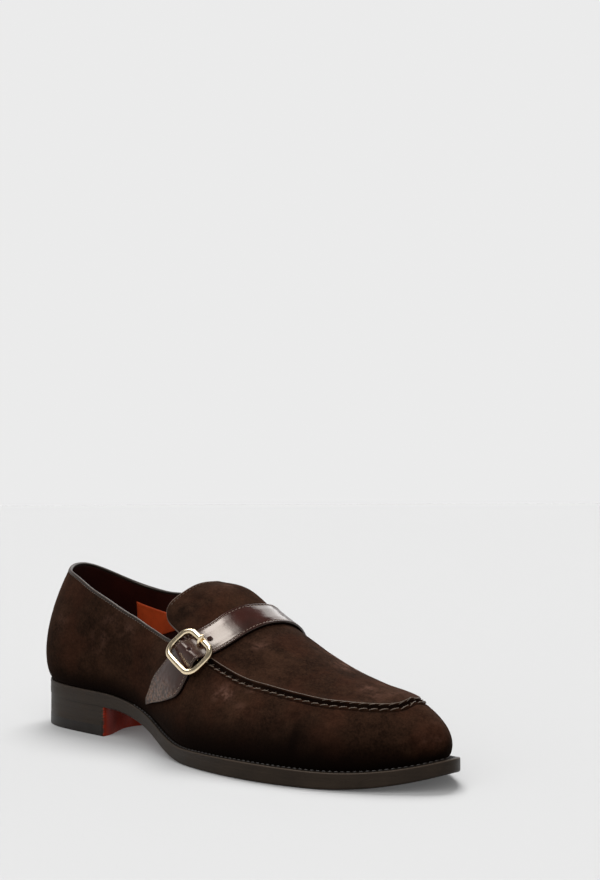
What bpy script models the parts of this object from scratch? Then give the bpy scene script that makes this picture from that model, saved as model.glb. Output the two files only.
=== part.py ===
"""A right-foot loafer with a buckled strap over the instep, as closed solids.

Axes: +X towards the toe, -Y towards the outer side of the foot, +Z up.
The shoe is worked out in millimetres from the back of its sole, then moved so
that the origin lies under the middle of its bounding box, on the floor.
"""

import bmesh
import bpy
import numpy as np

SOLE_LENGTH = 305.0
HEEL_LENGTH = 77.6
HEEL_LIFT = 17.2
BREAST_HOLLOW = 14.0
SEAT_RISE = 2.8
TOP_PIECE_HEIGHT = 6.0
WAIST_START = 62.0
TREAD_START = 172.0
TREAD_END = 250.0
TOE_SPRING = 7.7
TIP_Y = 4.5
WELT_THICKNESS = 3.0
WELT_REACH_IN = 5.0
UPPER_WALL = 1.8
APRON_WALL = 2.0
INSOLE_THICKNESS = 3.0
INSOLE_INSET = 3.0
INSOLE_TOE_EASE = 2.4
INSOLE_TOE_START = 278.0
STRAP_THICKNESS = 1.9
WIRE_WIDTH = 2.8
WIRE_HEIGHT = 2.2
GAP = 0.3
TURNS = 84

# Half widths of the sole.
OUTLINE_COLUMNS = ("x", "lateral", "medial")
OUTLINE = np.array([
    (8, 20.8, 20.0), (25, 31.2, 32.0), (50, 33.2, 34.2), (75, 32.4, 30.8),
    (100, 32.0, 27.6), (125, 35.6, 28.4), (150, 43.6, 36.2), (175, 49.5, 47.0),
    (200, 51.2, 53.4), (225, 49.0, 52.9), (250, 42.6, 46.6), (272, 32.0, 36.8),
    (290, 18.4, 25.4), (301, 6.6, 15.4),
])

# Welt and sole together, measured at the edge.
EDGE_COLUMNS = ("x", "height")
EDGE = np.array([(0, 8.0), (70, 7.9), (130, 7.5), (200, 8.6), (305, 6.8)])

# How far the welt reaches out, how full each section is, how much it bulges.
SECTION_COLUMNS = ("x", "reach_lat", "reach_med", "full_lat", "full_med", "bulge_lat", "bulge_med")
SECTIONS = np.array([
    (0, 1.8, 1.8, 1.74, 1.74, 7.2, 7.2), (50, 1.9, 1.8, 1.60, 1.75, 5.4, 5.0),
    (100, 2.6, 2.2, 2.05, 2.30, 3.3, 4.2), (150, 3.4, 2.6, 2.02, 2.24, 3.5, 4.3),
    (200, 4.4, 3.9, 1.82, 1.82, 2.3, 1.6), (250, 5.0, 4.7, 2.00, 2.10, 1.8, 1.8),
    (305, 5.7, 5.7, 3.20, 3.20, 1.8, 1.8),
])

# Where the section that starts at x on the sole reaches the ridge of the last.
RIDGE_FOOT_COLUMNS = ("x", "ridge_x", "ridge_y")
RIDGE_FOOT = np.array([
    (0, 42, 0.0), (60, 78, 1.5), (120, 124, 6.0), (180, 180, 7.2), (240, 226, 4.8), (305, 249, 4.4),
])

RIDGE_COLUMNS = ("x", "height")
RIDGE = np.array([
    (0, 131), (42, 131), (80, 131), (100, 115), (112, 100.5), (124, 92.6), (136, 90.4),
    (146, 89.2), (155, 86.4), (165, 80.0), (176, 73.3), (190, 67.0), (205, 60.3),
    (230, 50.4), (250, 45.6), (275, 42.2), (305, 36.6),
])

# The collar and then the apron seam, as a share of the way from welt to ridge.
TOPLINE_COLUMNS = ("x", "lateral", "medial")
TOPLINE = np.array([
    (0, 0.500, 0.500), (12, 0.500, 0.459), (25, 0.492, 0.427), (43, 0.450, 0.386),
    (65, 0.379, 0.338), (77, 0.347, 0.328), (86, 0.332, 0.328), (96, 0.334, 0.332),
    (106, 0.359, 0.350), (120, 0.394, 0.384), (136, 0.405, 0.410), (150, 0.435, 0.438),
    (164, 0.464, 0.466),
    (178, 0.474, 0.475), (190, 0.475, 0.485), (204, 0.484, 0.500), (216, 0.508, 0.520),
    (229, 0.530, 0.540), (243, 0.547, 0.555), (257, 0.553, 0.565), (266, 0.558, 0.575),
    (281, 0.556, 0.580), (290, 0.560, 0.585), (296, 0.577, 0.600), (302, 0.632, 0.630),
    (305, 0.672, 0.672),
])

# The free side edge of the tongue, in the same measure.
TONGUE_SIDE_COLUMNS = ("x", "up")
TONGUE_SIDE = np.array([(118, 0.505), (131, 0.478), (144, 0.462), (155, 0.464), (165, 0.474)])

# The free back edge of the tongue, from its side (0) to the ridge (1), and how
# far it stands off the last there; the lift fades out forwards.
TONGUE_BACK_COLUMNS = ("share", "x", "lift")
TONGUE_BACK = np.array([
    (0, 126.5, -1.0), (0.03, 124.6, 0.2), (0.09, 124.0, 2.0), (0.23, 124.5, 2.4),
    (0.39, 125.6, 1.2), (0.56, 126.8, 0.4), (0.70, 127.6, -0.1), (0.85, 128.2, -0.8),
    (1, 128.5, -1.2),
])
TONGUE_LIFT_REACH = 16.0

# The strap's two edges, given by where their sections start on the sole.
STRAP_COLUMNS = ("up", "back_edge", "front_edge")
STRAP_LATERAL = np.array([
    (0.062, 124.5, 125.6), (0.080, 124.5, 130.0), (0.102, 125.9, 135.6), (0.140, 129.2, 146.0),
    (0.172, 131.0, 153.3), (0.205, 133.0, 159.2), (0.270, 139.0, 164.4), (0.330, 143.8, 166.2),
    (0.420, 149.9, 170.2), (0.460, 153.0, 171.9), (0.543, 158.0, 176.6), (0.623, 161.6, 180.2),
    (0.704, 163.1, 182.2), (0.784, 164.4, 183.6), (0.861, 165.7, 184.7), (0.935, 167.2, 185.8),
    (1.0, 168.0, 186.5),
])
STRAP_MEDIAL = np.array([
    (1.0, 168.0, 186.5), (0.93, 167.8, 186.3), (0.85, 167.0, 185.4), (0.77, 165.9, 184.1),
    (0.70, 164.4, 182.5), (0.62, 162.3, 180.3), (0.54, 159.8, 177.6), (0.46, 157.0, 174.7),
    (0.38, 153.6, 171.6), (0.30, 149.6, 168.1), (0.22, 145.1, 164.0), (0.14, 140.3, 159.8),
    (0.08, 136.2, 156.1), (0.05, 133.8, 154.0),
])

BUCKLE_CENTRE = np.array([162.9, -37.7, 56.4])
BUCKLE_FACE = np.array([0.246, -0.781, 0.574])
BUCKLE_UP = np.array([0.389, 0.622, 0.679])
BUCKLE_WIDTH = 27.8
BUCKLE_DEPTH = 21.0
BUCKLE_CORNER = 7.6
BAR_RADIUS = 0.6
BAR_DROP = 2.3
PRONG_RADIUS = 1.0
PRONG_SIDE = 0.8

# The strap climbs over the buckle's bar: where (up), how far, how wide (up).
CLIMB_UP = 0.43
CLIMB_BACK = 4.7
CLIMB_FRONT = 2.9
CLIMB_SPREAD_BELOW = 0.058
CLIMB_SPREAD_ABOVE = 0.036
CLIMB_NARROW = 0.23
CLIMB_SHIFT = 0.065
NARROW_SPREAD_BELOW = 0.08
NARROW_SPREAD_ABOVE = 0.058

# The prong, along the strap from the bar and above the frame's middle plane.
PRONG_COLUMNS = ("along", "height")
PRONG = np.array([(6.4, 0.3), (7.4, 1.3), (9.2, 2.25), (11.4, 1.9)])


def spline(knots, values, at, period=None):
    """Natural cubic spline through the knots; with a period it closes on itself."""
    knots = np.asarray(knots, float)
    values = np.asarray(values, float)
    at = np.asarray(at, float)
    if period:
        knots = np.concatenate([knots[-5:] - period, knots, knots[:5] + period])
        values = np.concatenate([values[-5:], values, values[:5]])
        at = np.mod(at, period)
    count = len(knots)
    step = np.diff(knots)
    slope = np.diff(values) / step
    matrix = np.eye(count)
    right = np.zeros(count)
    for row in range(1, count - 1):
        matrix[row, row - 1] = step[row - 1]
        matrix[row, row] = 2 * (step[row - 1] + step[row])
        matrix[row, row + 1] = step[row]
        right[row] = 6 * (slope[row] - slope[row - 1])
    bend = np.linalg.solve(matrix, right)
    low = np.clip(np.searchsorted(knots, at) - 1, 0, count - 2)
    past = at - knots[low]
    gap = step[low]
    linear = slope[low] - gap * (2 * bend[low] + bend[low + 1]) / 6
    return (values[low] + past * linear + past ** 2 * bend[low] / 2
            + past ** 3 * (bend[low + 1] - bend[low]) / (6 * gap))


def turn_of(x):
    """The turn round the sole (0 at the heel, 0.5 at the toe) of a lateral x."""
    return np.arccos(np.clip(1 - 2 * np.asarray(x, float) / SOLE_LENGTH, -1, 1)) / (2 * np.pi)


def round_table(x, lateral, medial, turn):
    """Reads a table of both sides at any turn round the sole."""
    knots = turn_of(x)
    inner = (knots > 1e-6) & (knots < 0.5 - 1e-6)
    knots = np.concatenate([knots, 1 - knots[inner][::-1]])
    values = np.concatenate([lateral, medial[inner][::-1]])
    return spline(knots, values, turn, 1.0)


def outline(turn):
    """The edge of the sole in plan."""
    knots = turn_of(OUTLINE[:, 0])
    knots = np.concatenate([[0.0], knots, [0.5], 1 - knots[::-1]])
    values = np.concatenate([[0.0], -OUTLINE[:, 1], [TIP_Y], OUTLINE[::-1, 2]])
    x = SOLE_LENGTH / 2 * (1 - np.cos(2 * np.pi * turn))
    return np.stack([x, spline(knots, values, turn, 1.0)], -1)


def outward(turn):
    """Unit normal of the edge in plan."""
    run = outline(turn + 1e-4) - outline(turn - 1e-4)
    run /= np.linalg.norm(run, axis=-1, keepdims=True)
    return np.stack([run[..., 1], -run[..., 0]], -1)


def sole_under(x):
    """Height of the underside: heel seat, waist, flat tread, toe spring."""
    x = np.asarray(x, float)
    waist = np.clip((x - WAIST_START) / (TREAD_START - WAIST_START), 0, 1)
    seat = np.clip((WAIST_START - x) / WAIST_START, 0, 1)
    toe = np.clip((x - TREAD_END) / (SOLE_LENGTH - TREAD_END), 0, 1)
    return (HEEL_LIFT * (0.5 + 0.5 * np.cos(np.pi * waist ** 1.3))
            + SEAT_RISE * seat ** 1.5 + TOE_SPRING * toe ** 2.45)


def welt_top(x):
    return sole_under(x) + spline(EDGE[:, 0], EDGE[:, 1], x)


def last_point(turn, up):
    """The last: from the welt (up 0) a rounded section rises to the ridge (up 1)."""
    turn, up = np.broadcast_arrays(np.asarray(turn, float), np.asarray(up, float))
    edge = outline(turn)
    out = outward(turn)
    x = SECTIONS[:, 0]
    reach = round_table(x, SECTIONS[:, 1], SECTIONS[:, 2], turn)
    full = round_table(x, SECTIONS[:, 3], SECTIONS[:, 4], turn)
    bulge = round_table(x, SECTIONS[:, 5], SECTIONS[:, 6], turn)
    foot = edge - reach[..., None] * out
    base = welt_top(edge[..., 0])
    ridge_x = spline(RIDGE_FOOT[:, 0], RIDGE_FOOT[:, 1], edge[..., 0])
    ridge_y = spline(RIDGE_FOOT[:, 0], RIDGE_FOOT[:, 2], edge[..., 0])
    angle = np.clip(up, 0, 1) * np.pi / 2
    rise = np.sin(angle) ** (2 / full)
    across = 1 - np.clip(np.cos(angle), 0, 1) ** (2 / full)
    swell = bulge * np.sin(np.pi * np.clip(rise, 0, 1) ** 0.62)
    plan = foot + (np.stack([ridge_x, ridge_y], -1) - foot) * across[..., None]
    plan = plan + swell[..., None] * out
    top = spline(RIDGE[:, 0], RIDGE[:, 1], np.clip(plan[..., 0], 0, SOLE_LENGTH))
    return np.concatenate([plan, (base + (top - base) * rise)[..., None]], -1)


def last_normal(turn, up):
    turn, up = np.broadcast_arrays(np.asarray(turn, float), np.asarray(up, float))
    small = 1e-3
    low = np.clip(up - small, 0, 1)
    high = np.clip(up + small, 0, 1)
    along = last_point(turn + small, up) - last_point(turn - small, up)
    rise = last_point(turn, high) - last_point(turn, low)
    normal = np.cross(along, rise)
    return normal / np.linalg.norm(normal, axis=-1, keepdims=True)


def lifted(turn, up, lift):
    """A point of the last moved out along its normal."""
    lift = np.asarray(lift, float)
    return last_point(turn, up) + lift[..., None] * last_normal(turn, up)


def topline(turn):
    return round_table(TOPLINE[:, 0], TOPLINE[:, 1], TOPLINE[:, 2], turn)


class Body:
    """Points and faces of one closed solid, in millimetres."""

    def __init__(self):
        self.points = []
        self.faces = []
        self.count = 0

    def add(self, grid):
        grid = np.asarray(grid, float)
        index = np.arange(self.count, self.count + grid[..., 0].size).reshape(grid.shape[:-1])
        self.points.append(grid.reshape(-1, 3))
        self.count += grid[..., 0].size
        return index

    def skin(self, index):
        """Faces over a grid of point numbers."""
        quads = np.stack([index[:-1, :-1], index[1:, :-1], index[1:, 1:], index[:-1, 1:]], -1)
        self.faces.append(quads.reshape(-1, 4))

    def mesh_data(self):
        points = np.concatenate(self.points)
        faces = []
        for quad in np.concatenate(self.faces):
            ring = [int(quad[k]) for k in range(4) if quad[k] != quad[k - 1]]
            if len(ring) > 2:
                faces.append(ring)
        return points, faces


def closed(index):
    return np.concatenate([index, index[:1]])


def upper_body():
    """The vamp and quarters: one wall that runs round the foot."""
    turn = (np.arange(TURNS) / TURNS)[:, None]
    up = np.linspace(0, 1, 9)[None, :] ** 0.9 * topline(turn)
    body = Body()
    foot_gap = np.array([0, 0, GAP])
    outer = closed(body.add(last_point(turn, up) + foot_gap * (1 - np.linspace(0, 1, 9))[None, :, None]))
    wall = np.full(up.shape, -UPPER_WALL)
    inner_points = lifted(turn, np.maximum(up, 0.012), wall)
    inner_points[:, 0, 2] = last_point(turn, up)[:, 0, 2] + GAP
    inner = closed(body.add(inner_points))
    body.skin(outer)
    body.skin(inner)
    body.skin(np.stack([outer[:, -1], inner[:, -1]], 1))
    body.skin(np.stack([inner[:, 0], outer[:, 0]], 1))
    return body


def apron_grid(lift, rows, columns):
    """Both halves of the apron and tongue, joined on the ridge and at the toe."""
    share = 1 - (1 - np.linspace(0, 1, columns)) ** 1.15
    back_x = np.interp(share, TONGUE_BACK[:, 0], TONGUE_BACK[:, 1])[None, :]
    back = turn_of(back_x)
    run = np.linspace(0, 1, rows)[:, None]
    run = 0.72 * run + 0.28 * np.sin(run * np.pi / 2)
    turn = back + (0.5 - back) * run
    past = SOLE_LENGTH / 2 * (1 - np.cos(2 * np.pi * turn)) - back_x
    stand = np.interp(share, TONGUE_BACK[:, 0], TONGUE_BACK[:, 2])[None, :]
    lift = lift + stand * np.exp(-(past / TONGUE_LIFT_REACH) ** 2)
    sides = []
    for side in (turn, 1 - turn):
        free = np.interp(turn, turn_of(TONGUE_SIDE[:, 0]), TONGUE_SIDE[:, 1])
        edge = np.where(turn < turn_of(TONGUE_SIDE[-1, 0]), free, topline(side) + 0.008)
        up = edge + (1 - edge) * share[None, :]
        sides.append(lifted(side, up, lift))
    return sides


def apron_body():
    rows = 30
    columns = 9
    body = Body()
    layers = []
    for lift in (0.0, -APRON_WALL):
        lateral, medial = apron_grid(lift, rows, columns)
        ridge = (lateral[:, -1] + medial[:, -1]) / 2
        grid = np.concatenate([lateral[:, :-1], ridge[:, None], medial[:, -2::-1]], 1)
        index = body.add(grid)
        index[-1, columns:] = index[-1, columns - 2::-1]
        layers.append(index)
    outer, inner = layers
    body.skin(outer)
    body.skin(inner)
    body.skin(np.stack([inner[0], outer[0]], 0))
    body.skin(np.stack([inner[:, 0], outer[:, 0]], 1))
    body.skin(np.stack([inner[:, -1], outer[:, -1]], 1))
    return body


def strap_grid(lift, across):
    rows = [(0, row) for row in STRAP_LATERAL] + [(1, row) for row in STRAP_MEDIAL[1:]]
    points = []
    for medial, (up, back_edge, front_edge) in rows:
        above = medial or up > CLIMB_UP
        from_bar = 2.0 if medial else up - CLIMB_UP
        climb = np.exp(-(from_bar / (CLIMB_SPREAD_ABOVE if above else CLIMB_SPREAD_BELOW)) ** 2)
        tight = np.exp(-(from_bar / (NARROW_SPREAD_ABOVE if above else NARROW_SPREAD_BELOW)) ** 2)
        width = 1 - CLIMB_NARROW * tight
        share = 0.5 + CLIMB_SHIFT * tight + np.linspace(-0.5, 0.5, across) * width
        turn = turn_of(back_edge + (front_edge - back_edge) * share)
        turn = 1 - turn if medial else turn
        height = lift + climb * (CLIMB_BACK + (CLIMB_FRONT - CLIMB_BACK) * share)
        points.append(lifted(turn, np.full(across, up), height))
    return finer_rows(np.array(points), 2)


def finer_rows(grid, factor):
    """The same grid with extra rows, on a spline through the given ones."""
    length = np.linalg.norm(np.diff(grid.mean(1), axis=0), axis=-1)
    at = np.concatenate([[0], np.cumsum(length)])
    fine = np.interp(np.arange((len(grid) - 1) * factor + 1) / factor, np.arange(len(grid)), at)
    flat = grid.reshape(len(grid), -1)
    result = np.stack([spline(at, flat[:, k], fine) for k in range(flat.shape[1])], -1)
    return result.reshape(len(fine), *grid.shape[1:])


def strap_body():
    body = Body()
    outer = body.add(strap_grid(GAP + STRAP_THICKNESS, 5))
    inner = body.add(strap_grid(GAP, 5))
    body.skin(outer)
    body.skin(inner)
    body.skin(np.stack([inner[0], outer[0]], 0))
    body.skin(np.stack([inner[-1], outer[-1]], 0))
    body.skin(np.stack([inner[:, 0], outer[:, 0]], 1))
    body.skin(np.stack([inner[:, -1], outer[:, -1]], 1))
    return body


def plate_body(turn, edge, low, high):
    """A plate between two heights that depend on x; both sides share each x."""
    half = len(turn) // 2
    body = Body()
    sides = []
    for height in (low, high):
        ring = np.concatenate([edge, height(edge[:, 0])[:, None]], 1)
        sides.append(body.add(ring))
    bottom, top = sides
    body.skin(np.stack([closed(bottom), closed(top)], 1))
    for ring in (bottom, top):
        medial = np.concatenate([ring[:1], ring[:half - 1:-1]])
        body.skin(np.stack([ring[:half + 1], medial], 1))
    return body


def sole_plate(inset, low, high):
    turn = np.arange(TURNS) / TURNS
    return plate_body(turn, outline(turn) - inset * outward(turn), low, high)


def heel_plate(low, high, inset):
    """The part of the outline behind the heel breast, which is hollowed in an arc."""
    rows = 16
    turn = np.linspace(0, float(turn_of(HEEL_LENGTH)), rows + 1)
    lateral, medial = (outline(side) - inset * outward(side) for side in (turn, 1 - turn))
    lateral[-1, 0] = medial[-1, 0] = HEEL_LENGTH
    share = np.linspace(0, 1, 9)
    plan = lateral[:, None] + (medial - lateral)[:, None] * share[:, None]
    reach = (np.arange(rows + 1) / rows) ** 3
    plan[..., 0] -= BREAST_HOLLOW * reach[:, None] * np.abs(np.sin(np.pi * share)) ** 1.8
    body = Body()
    layers = []
    for height in (low, high):
        index = body.add(np.concatenate([plan, height(plan[..., 0])[..., None]], -1))
        index[0] = index[0, 0]
        body.skin(index)
        layers.append(index)
    bottom, top = layers
    body.skin(np.stack([bottom[:, 0], top[:, 0]], 1))
    body.skin(np.stack([bottom[:, -1], top[:, -1]], 1))
    body.skin(np.stack([bottom[-1], top[-1]]))
    return body


def welt_body():
    turn = (np.arange(TURNS) / TURNS)
    edge = outline(turn)
    out = outward(turn)
    reach = round_table(SECTIONS[:, 0], SECTIONS[:, 1], SECTIONS[:, 2], turn)
    inside = edge - (reach + WELT_REACH_IN)[:, None] * out
    body = Body()
    rings = []
    for plan, drop in ((edge, 0), (inside, 0), (inside, WELT_THICKNESS), (edge, WELT_THICKNESS)):
        height = welt_top(edge[:, 0]) - drop
        rings.append(closed(body.add(np.concatenate([plan, height[:, None]], 1))))
    rings.append(rings[0])
    body.skin(np.stack(rings, 1))
    return body


def insole_body():
    turn = np.arange(TURNS) / TURNS
    reach = round_table(SECTIONS[:, 0], SECTIONS[:, 1], SECTIONS[:, 2], turn)
    x = outline(turn)[:, 0]
    ease = INSOLE_TOE_EASE * np.clip((x - INSOLE_TOE_START) / (SOLE_LENGTH - INSOLE_TOE_START), 0, 1) ** 0.5
    edge = outline(turn) - (reach + INSOLE_INSET + ease)[:, None] * outward(turn)
    body = Body()
    low = body.add(np.concatenate([edge, (welt_top(x) + 2 * GAP)[:, None]], 1))
    high = body.add(np.concatenate([edge, (welt_top(x) + INSOLE_THICKNESS)[:, None]], 1))
    half = TURNS // 2
    body.skin(np.stack([closed(low), closed(high)], 1))
    for ring in (low, high):
        medial = np.concatenate([ring[:1], ring[:half - 1:-1]])
        body.skin(np.stack([ring[:half + 1], medial], 1))
    return body


def buckle_axes():
    face = BUCKLE_FACE / np.linalg.norm(BUCKLE_FACE)
    up = BUCKLE_UP - face * (BUCKLE_UP @ face)
    up /= np.linalg.norm(up)
    side = np.cross(up, face)
    return side * np.sign(side[0]), up, face


def tube(path, frames, wide, high, sides, ring):
    """A rod with an oval section along a path; frames hold its two cross axes."""
    angle = np.arange(sides) / sides * 2 * np.pi
    first, second = frames
    section = (np.cos(angle)[None, :, None] * first[:, None] * wide
               + np.sin(angle)[None, :, None] * second[:, None] * high)
    body = Body()
    index = body.add(path[:, None] + section)
    index = np.concatenate([index, index[:, :1]], 1)
    if ring:
        body.skin(closed(index))
        return body
    body.skin(index)
    for end, row in ((0, path[0]), (-1, path[-1])):
        centre = body.add(row[None])
        fan = np.stack([np.repeat(centre, sides + 1), index[end]], 0)
        body.skin(fan)
    return body


def frame_body():
    """The buckle's frame: an oval wire round a rectangle with full corners."""
    side, up, face = buckle_axes()
    angle = np.arange(40) / 40 * 2 * np.pi
    half_side = BUCKLE_WIDTH / 2 - WIRE_WIDTH / 2
    half_up = BUCKLE_DEPTH / 2 - WIRE_WIDTH / 2
    corner = BUCKLE_CORNER - WIRE_WIDTH / 2
    spread = np.clip(4 * np.cos(angle), -1, 1)
    climb = np.clip(4 * np.sin(angle), -1, 1)
    a = (half_side - corner) * spread + corner * np.cos(angle)
    b = (half_up - corner) * climb + corner * np.sin(angle)
    path = BUCKLE_CENTRE + a[:, None] * side + b[:, None] * up
    run = np.roll(path, -1, 0) - np.roll(path, 1, 0)
    run /= np.linalg.norm(run, axis=-1, keepdims=True)
    second = np.repeat(face[None], len(path), 0)
    first = np.cross(run, second)
    return tube(path, (first, second), WIRE_WIDTH / 2, WIRE_HEIGHT / 2, 8, True)


def bar_body():
    side, up, face = buckle_axes()
    reach = BUCKLE_WIDTH / 2 - WIRE_WIDTH / 2
    share = np.array([-1, -0.88, -0.72, 0, 0.72, 0.88, 1])
    drop = BAR_DROP * np.array([0, 0.7, 1, 1, 1, 0.7, 0])
    path = BUCKLE_CENTRE + (share * reach)[:, None] * side - drop[:, None] * face
    first = np.repeat(up[None], 7, 0)
    second = np.repeat(face[None], 7, 0)
    return tube(path, (first, second), BAR_RADIUS, BAR_RADIUS, 8, False)


def prong_body():
    """The visible half of the prong, from the strap's hole over the frame."""
    side, up, face = buckle_axes()
    path = BUCKLE_CENTRE + PRONG_SIDE * side + PRONG[:, :1] * up + PRONG[:, 1:] * face
    first = np.repeat(side[None], len(path), 0)
    second = np.repeat(face[None], len(path), 0)
    return tube(path, (first, second), PRONG_RADIUS, PRONG_RADIUS * 0.8, 8, False)


def material(name, colour, roughness, metallic=0.0):
    made = bpy.data.materials.new(name)
    made.use_nodes = True
    shader = made.node_tree.nodes["Principled BSDF"]
    shader.inputs["Base Color"].default_value = (*colour, 1.0)
    shader.inputs["Roughness"].default_value = roughness
    shader.inputs["Metallic"].default_value = metallic
    return made


def make_object(name, body, shift, look):
    points, faces = body.mesh_data()
    mesh = bpy.data.meshes.new(name)
    mesh.from_pydata(((points + shift) * 0.001).tolist(), [], faces)
    turned = bmesh.new()
    turned.from_mesh(mesh)
    bmesh.ops.recalc_face_normals(turned, faces=turned.faces)
    turned.to_mesh(mesh)
    turned.free()
    mesh.materials.append(material(name + "_look", *look))
    made = bpy.data.objects.new(name, mesh)
    bpy.context.scene.collection.objects.link(made)
    return made


def weld(target, tool, name):
    """Joins a hidden helper to a piece."""
    tool.hide_render = True
    tool.display_type = "WIRE"
    join = target.modifiers.new(name, "BOOLEAN")
    join.operation = "UNION"
    join.solver = "EXACT"
    join.object = tool


def main():
    for old in list(bpy.data.objects):
        bpy.data.objects.remove(old, do_unlink=True)
    sole_top = WELT_THICKNESS + GAP
    suede = ((0.035, 0.018, 0.012), 0.95)
    leather = ((0.05, 0.025, 0.018), 0.35)
    edge_leather = ((0.03, 0.018, 0.014), 0.45)
    gold = ((0.83, 0.66, 0.38), 0.2, 1.0)
    bodies = {
        "outsole": (sole_plate(0.4, sole_under, lambda x: welt_top(x) - sole_top), edge_leather),
        "welt": (welt_body(), edge_leather),
        "heel_stack": (heel_plate(lambda x: np.full_like(x, TOP_PIECE_HEIGHT + GAP),
                                  lambda x: sole_under(x) - GAP, 0.4), edge_leather),
        "heel_top_piece": (heel_plate(lambda x: np.zeros_like(x),
                                      lambda x: np.full_like(x, TOP_PIECE_HEIGHT), 0.4),
                           ((0.02, 0.014, 0.012), 0.6)),
        "insole": (insole_body(), ((0.12, 0.03, 0.018), 0.6)),
        "upper": (upper_body(), suede),
        "apron_tongue": (apron_body(), suede),
        "strap": (strap_body(), leather),
        "buckle_frame": (frame_body(), gold),
        "buckle_prong": (prong_body(), gold),
    }
    every = np.concatenate([np.concatenate(body.points) for body, _ in bodies.values()])
    low = every.min(0)
    high = every.max(0)
    shift = np.array([-(low[0] + high[0]) / 2, -(low[1] + high[1]) / 2, -low[2]])
    made = {name: make_object(name, body, shift, look) for name, (body, look) in bodies.items()}
    bar = make_object("bar_helper", bar_body(), shift, gold)
    weld(made["buckle_frame"], bar, "centre_bar")
    print("shift", np.round(shift, 3), "size", np.round(high - low, 2))


main()
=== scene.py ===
"""A right-foot suede loafer with a buckled strap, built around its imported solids.

Shapes are worked out in millimetres from the back of the sole, +X towards the
toe, -Y towards the outer side of the foot, and moved to the CAD's frame at the end.
"""

import math
from functools import partial

import bmesh
import bpy
import numpy as np
from bpy.props import FloatProperty, FloatVectorProperty, PointerProperty
from mathutils import Matrix, Vector


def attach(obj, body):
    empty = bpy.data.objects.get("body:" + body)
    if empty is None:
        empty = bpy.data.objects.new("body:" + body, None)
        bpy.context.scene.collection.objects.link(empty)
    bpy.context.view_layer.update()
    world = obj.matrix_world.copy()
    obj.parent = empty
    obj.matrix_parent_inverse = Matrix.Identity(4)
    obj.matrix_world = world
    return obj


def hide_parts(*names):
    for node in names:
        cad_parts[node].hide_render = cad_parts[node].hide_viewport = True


bl_info = {
    "name": "Buckled Loafer",
    "version": (1, 0, 0),
    "blender": (4, 5, 0),
    "location": "3D View > Sidebar > Loafer",
    "description": "Builds a suede loafer with a buckled strap, piece by piece",
    "category": "Add Mesh",
}

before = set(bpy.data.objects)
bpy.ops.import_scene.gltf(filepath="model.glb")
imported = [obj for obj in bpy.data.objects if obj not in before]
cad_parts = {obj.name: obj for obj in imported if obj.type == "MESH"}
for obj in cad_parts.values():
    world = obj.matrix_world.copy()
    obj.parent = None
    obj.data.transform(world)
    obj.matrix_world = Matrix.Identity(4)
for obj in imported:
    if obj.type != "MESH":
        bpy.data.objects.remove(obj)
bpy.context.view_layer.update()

# ---------------------------------------------------------------------------
# The last: the form that every piece of the upper follows
# ---------------------------------------------------------------------------

SOLE_LENGTH = 305.0
HEEL_LENGTH = 77.6
HEEL_LIFT = 17.2
BREAST_HOLLOW = 14.0
SEAT_RISE = 2.8
TOP_PIECE_HEIGHT = 6.0
WAIST_START = 62.0
TREAD_START = 172.0
TREAD_END = 250.0
TOE_SPRING = 7.7
TIP_Y = 4.5
CAD_ORIGIN = np.array([150.807, 1.382, 0.0])

# Exponents: how the underside comes down to the waist, rises to the seat and to the toe.
WAIST_CURVE = 1.3
SEAT_CURVE = 1.5
TOE_CURVE = 2.45
# Exponent that sets how low on each section its side bulges most.
BULGE_CURVE = 0.62

# Half widths of the sole.
OUTLINE_X, LATERAL_HALF, MEDIAL_HALF = np.array([
    (8, 20.8, 20.0), (25, 31.2, 32.0), (50, 33.2, 34.2), (75, 32.4, 30.8),
    (100, 32.0, 27.6), (125, 35.6, 28.4), (150, 43.6, 36.2), (175, 49.5, 47.0),
    (200, 51.2, 53.4), (225, 49.0, 52.9), (250, 42.6, 46.6), (272, 32.0, 36.8),
    (290, 18.4, 25.4), (301, 6.6, 15.4),
]).T

# Welt and sole together, measured at the edge.
EDGE_X, EDGE_HEIGHT = np.array([(0, 8.0), (70, 7.9), (130, 7.5), (200, 8.6), (305, 6.8)]).T

# How far the welt reaches out, how full each section is, how much it bulges.
SECTION_X, REACH_LAT, REACH_MED, FULL_LAT, FULL_MED, BULGE_LAT, BULGE_MED = np.array([
    (0, 1.8, 1.8, 1.74, 1.74, 7.2, 7.2), (50, 1.9, 1.8, 1.60, 1.75, 5.4, 5.0),
    (100, 2.6, 2.2, 2.05, 2.30, 3.3, 4.2), (150, 3.4, 2.6, 2.02, 2.24, 3.5, 4.3),
    (200, 4.4, 3.9, 1.82, 1.82, 2.3, 1.6), (250, 5.0, 4.7, 2.00, 2.10, 1.8, 1.8),
    (305, 5.7, 5.7, 3.20, 3.20, 1.8, 1.8),
]).T

# Where the section that starts at x on the sole reaches the ridge of the last.
RIDGE_FOOT_FROM, RIDGE_FOOT_X, RIDGE_FOOT_Y = np.array([
    (0, 42, 0.0), (60, 78, 1.5), (120, 124, 6.0), (180, 180, 7.2), (240, 226, 4.8),
    (305, 249, 4.4),
]).T

RIDGE_X, RIDGE_HEIGHT = np.array([
    (0, 131), (42, 131), (80, 131), (100, 115), (112, 100.5), (124, 92.6), (136, 90.4),
    (146, 89.2), (155, 86.4), (165, 80.0), (176, 73.3), (190, 67.0), (205, 60.3),
    (230, 50.4), (250, 45.6), (275, 42.2), (305, 36.6),
]).T

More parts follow.
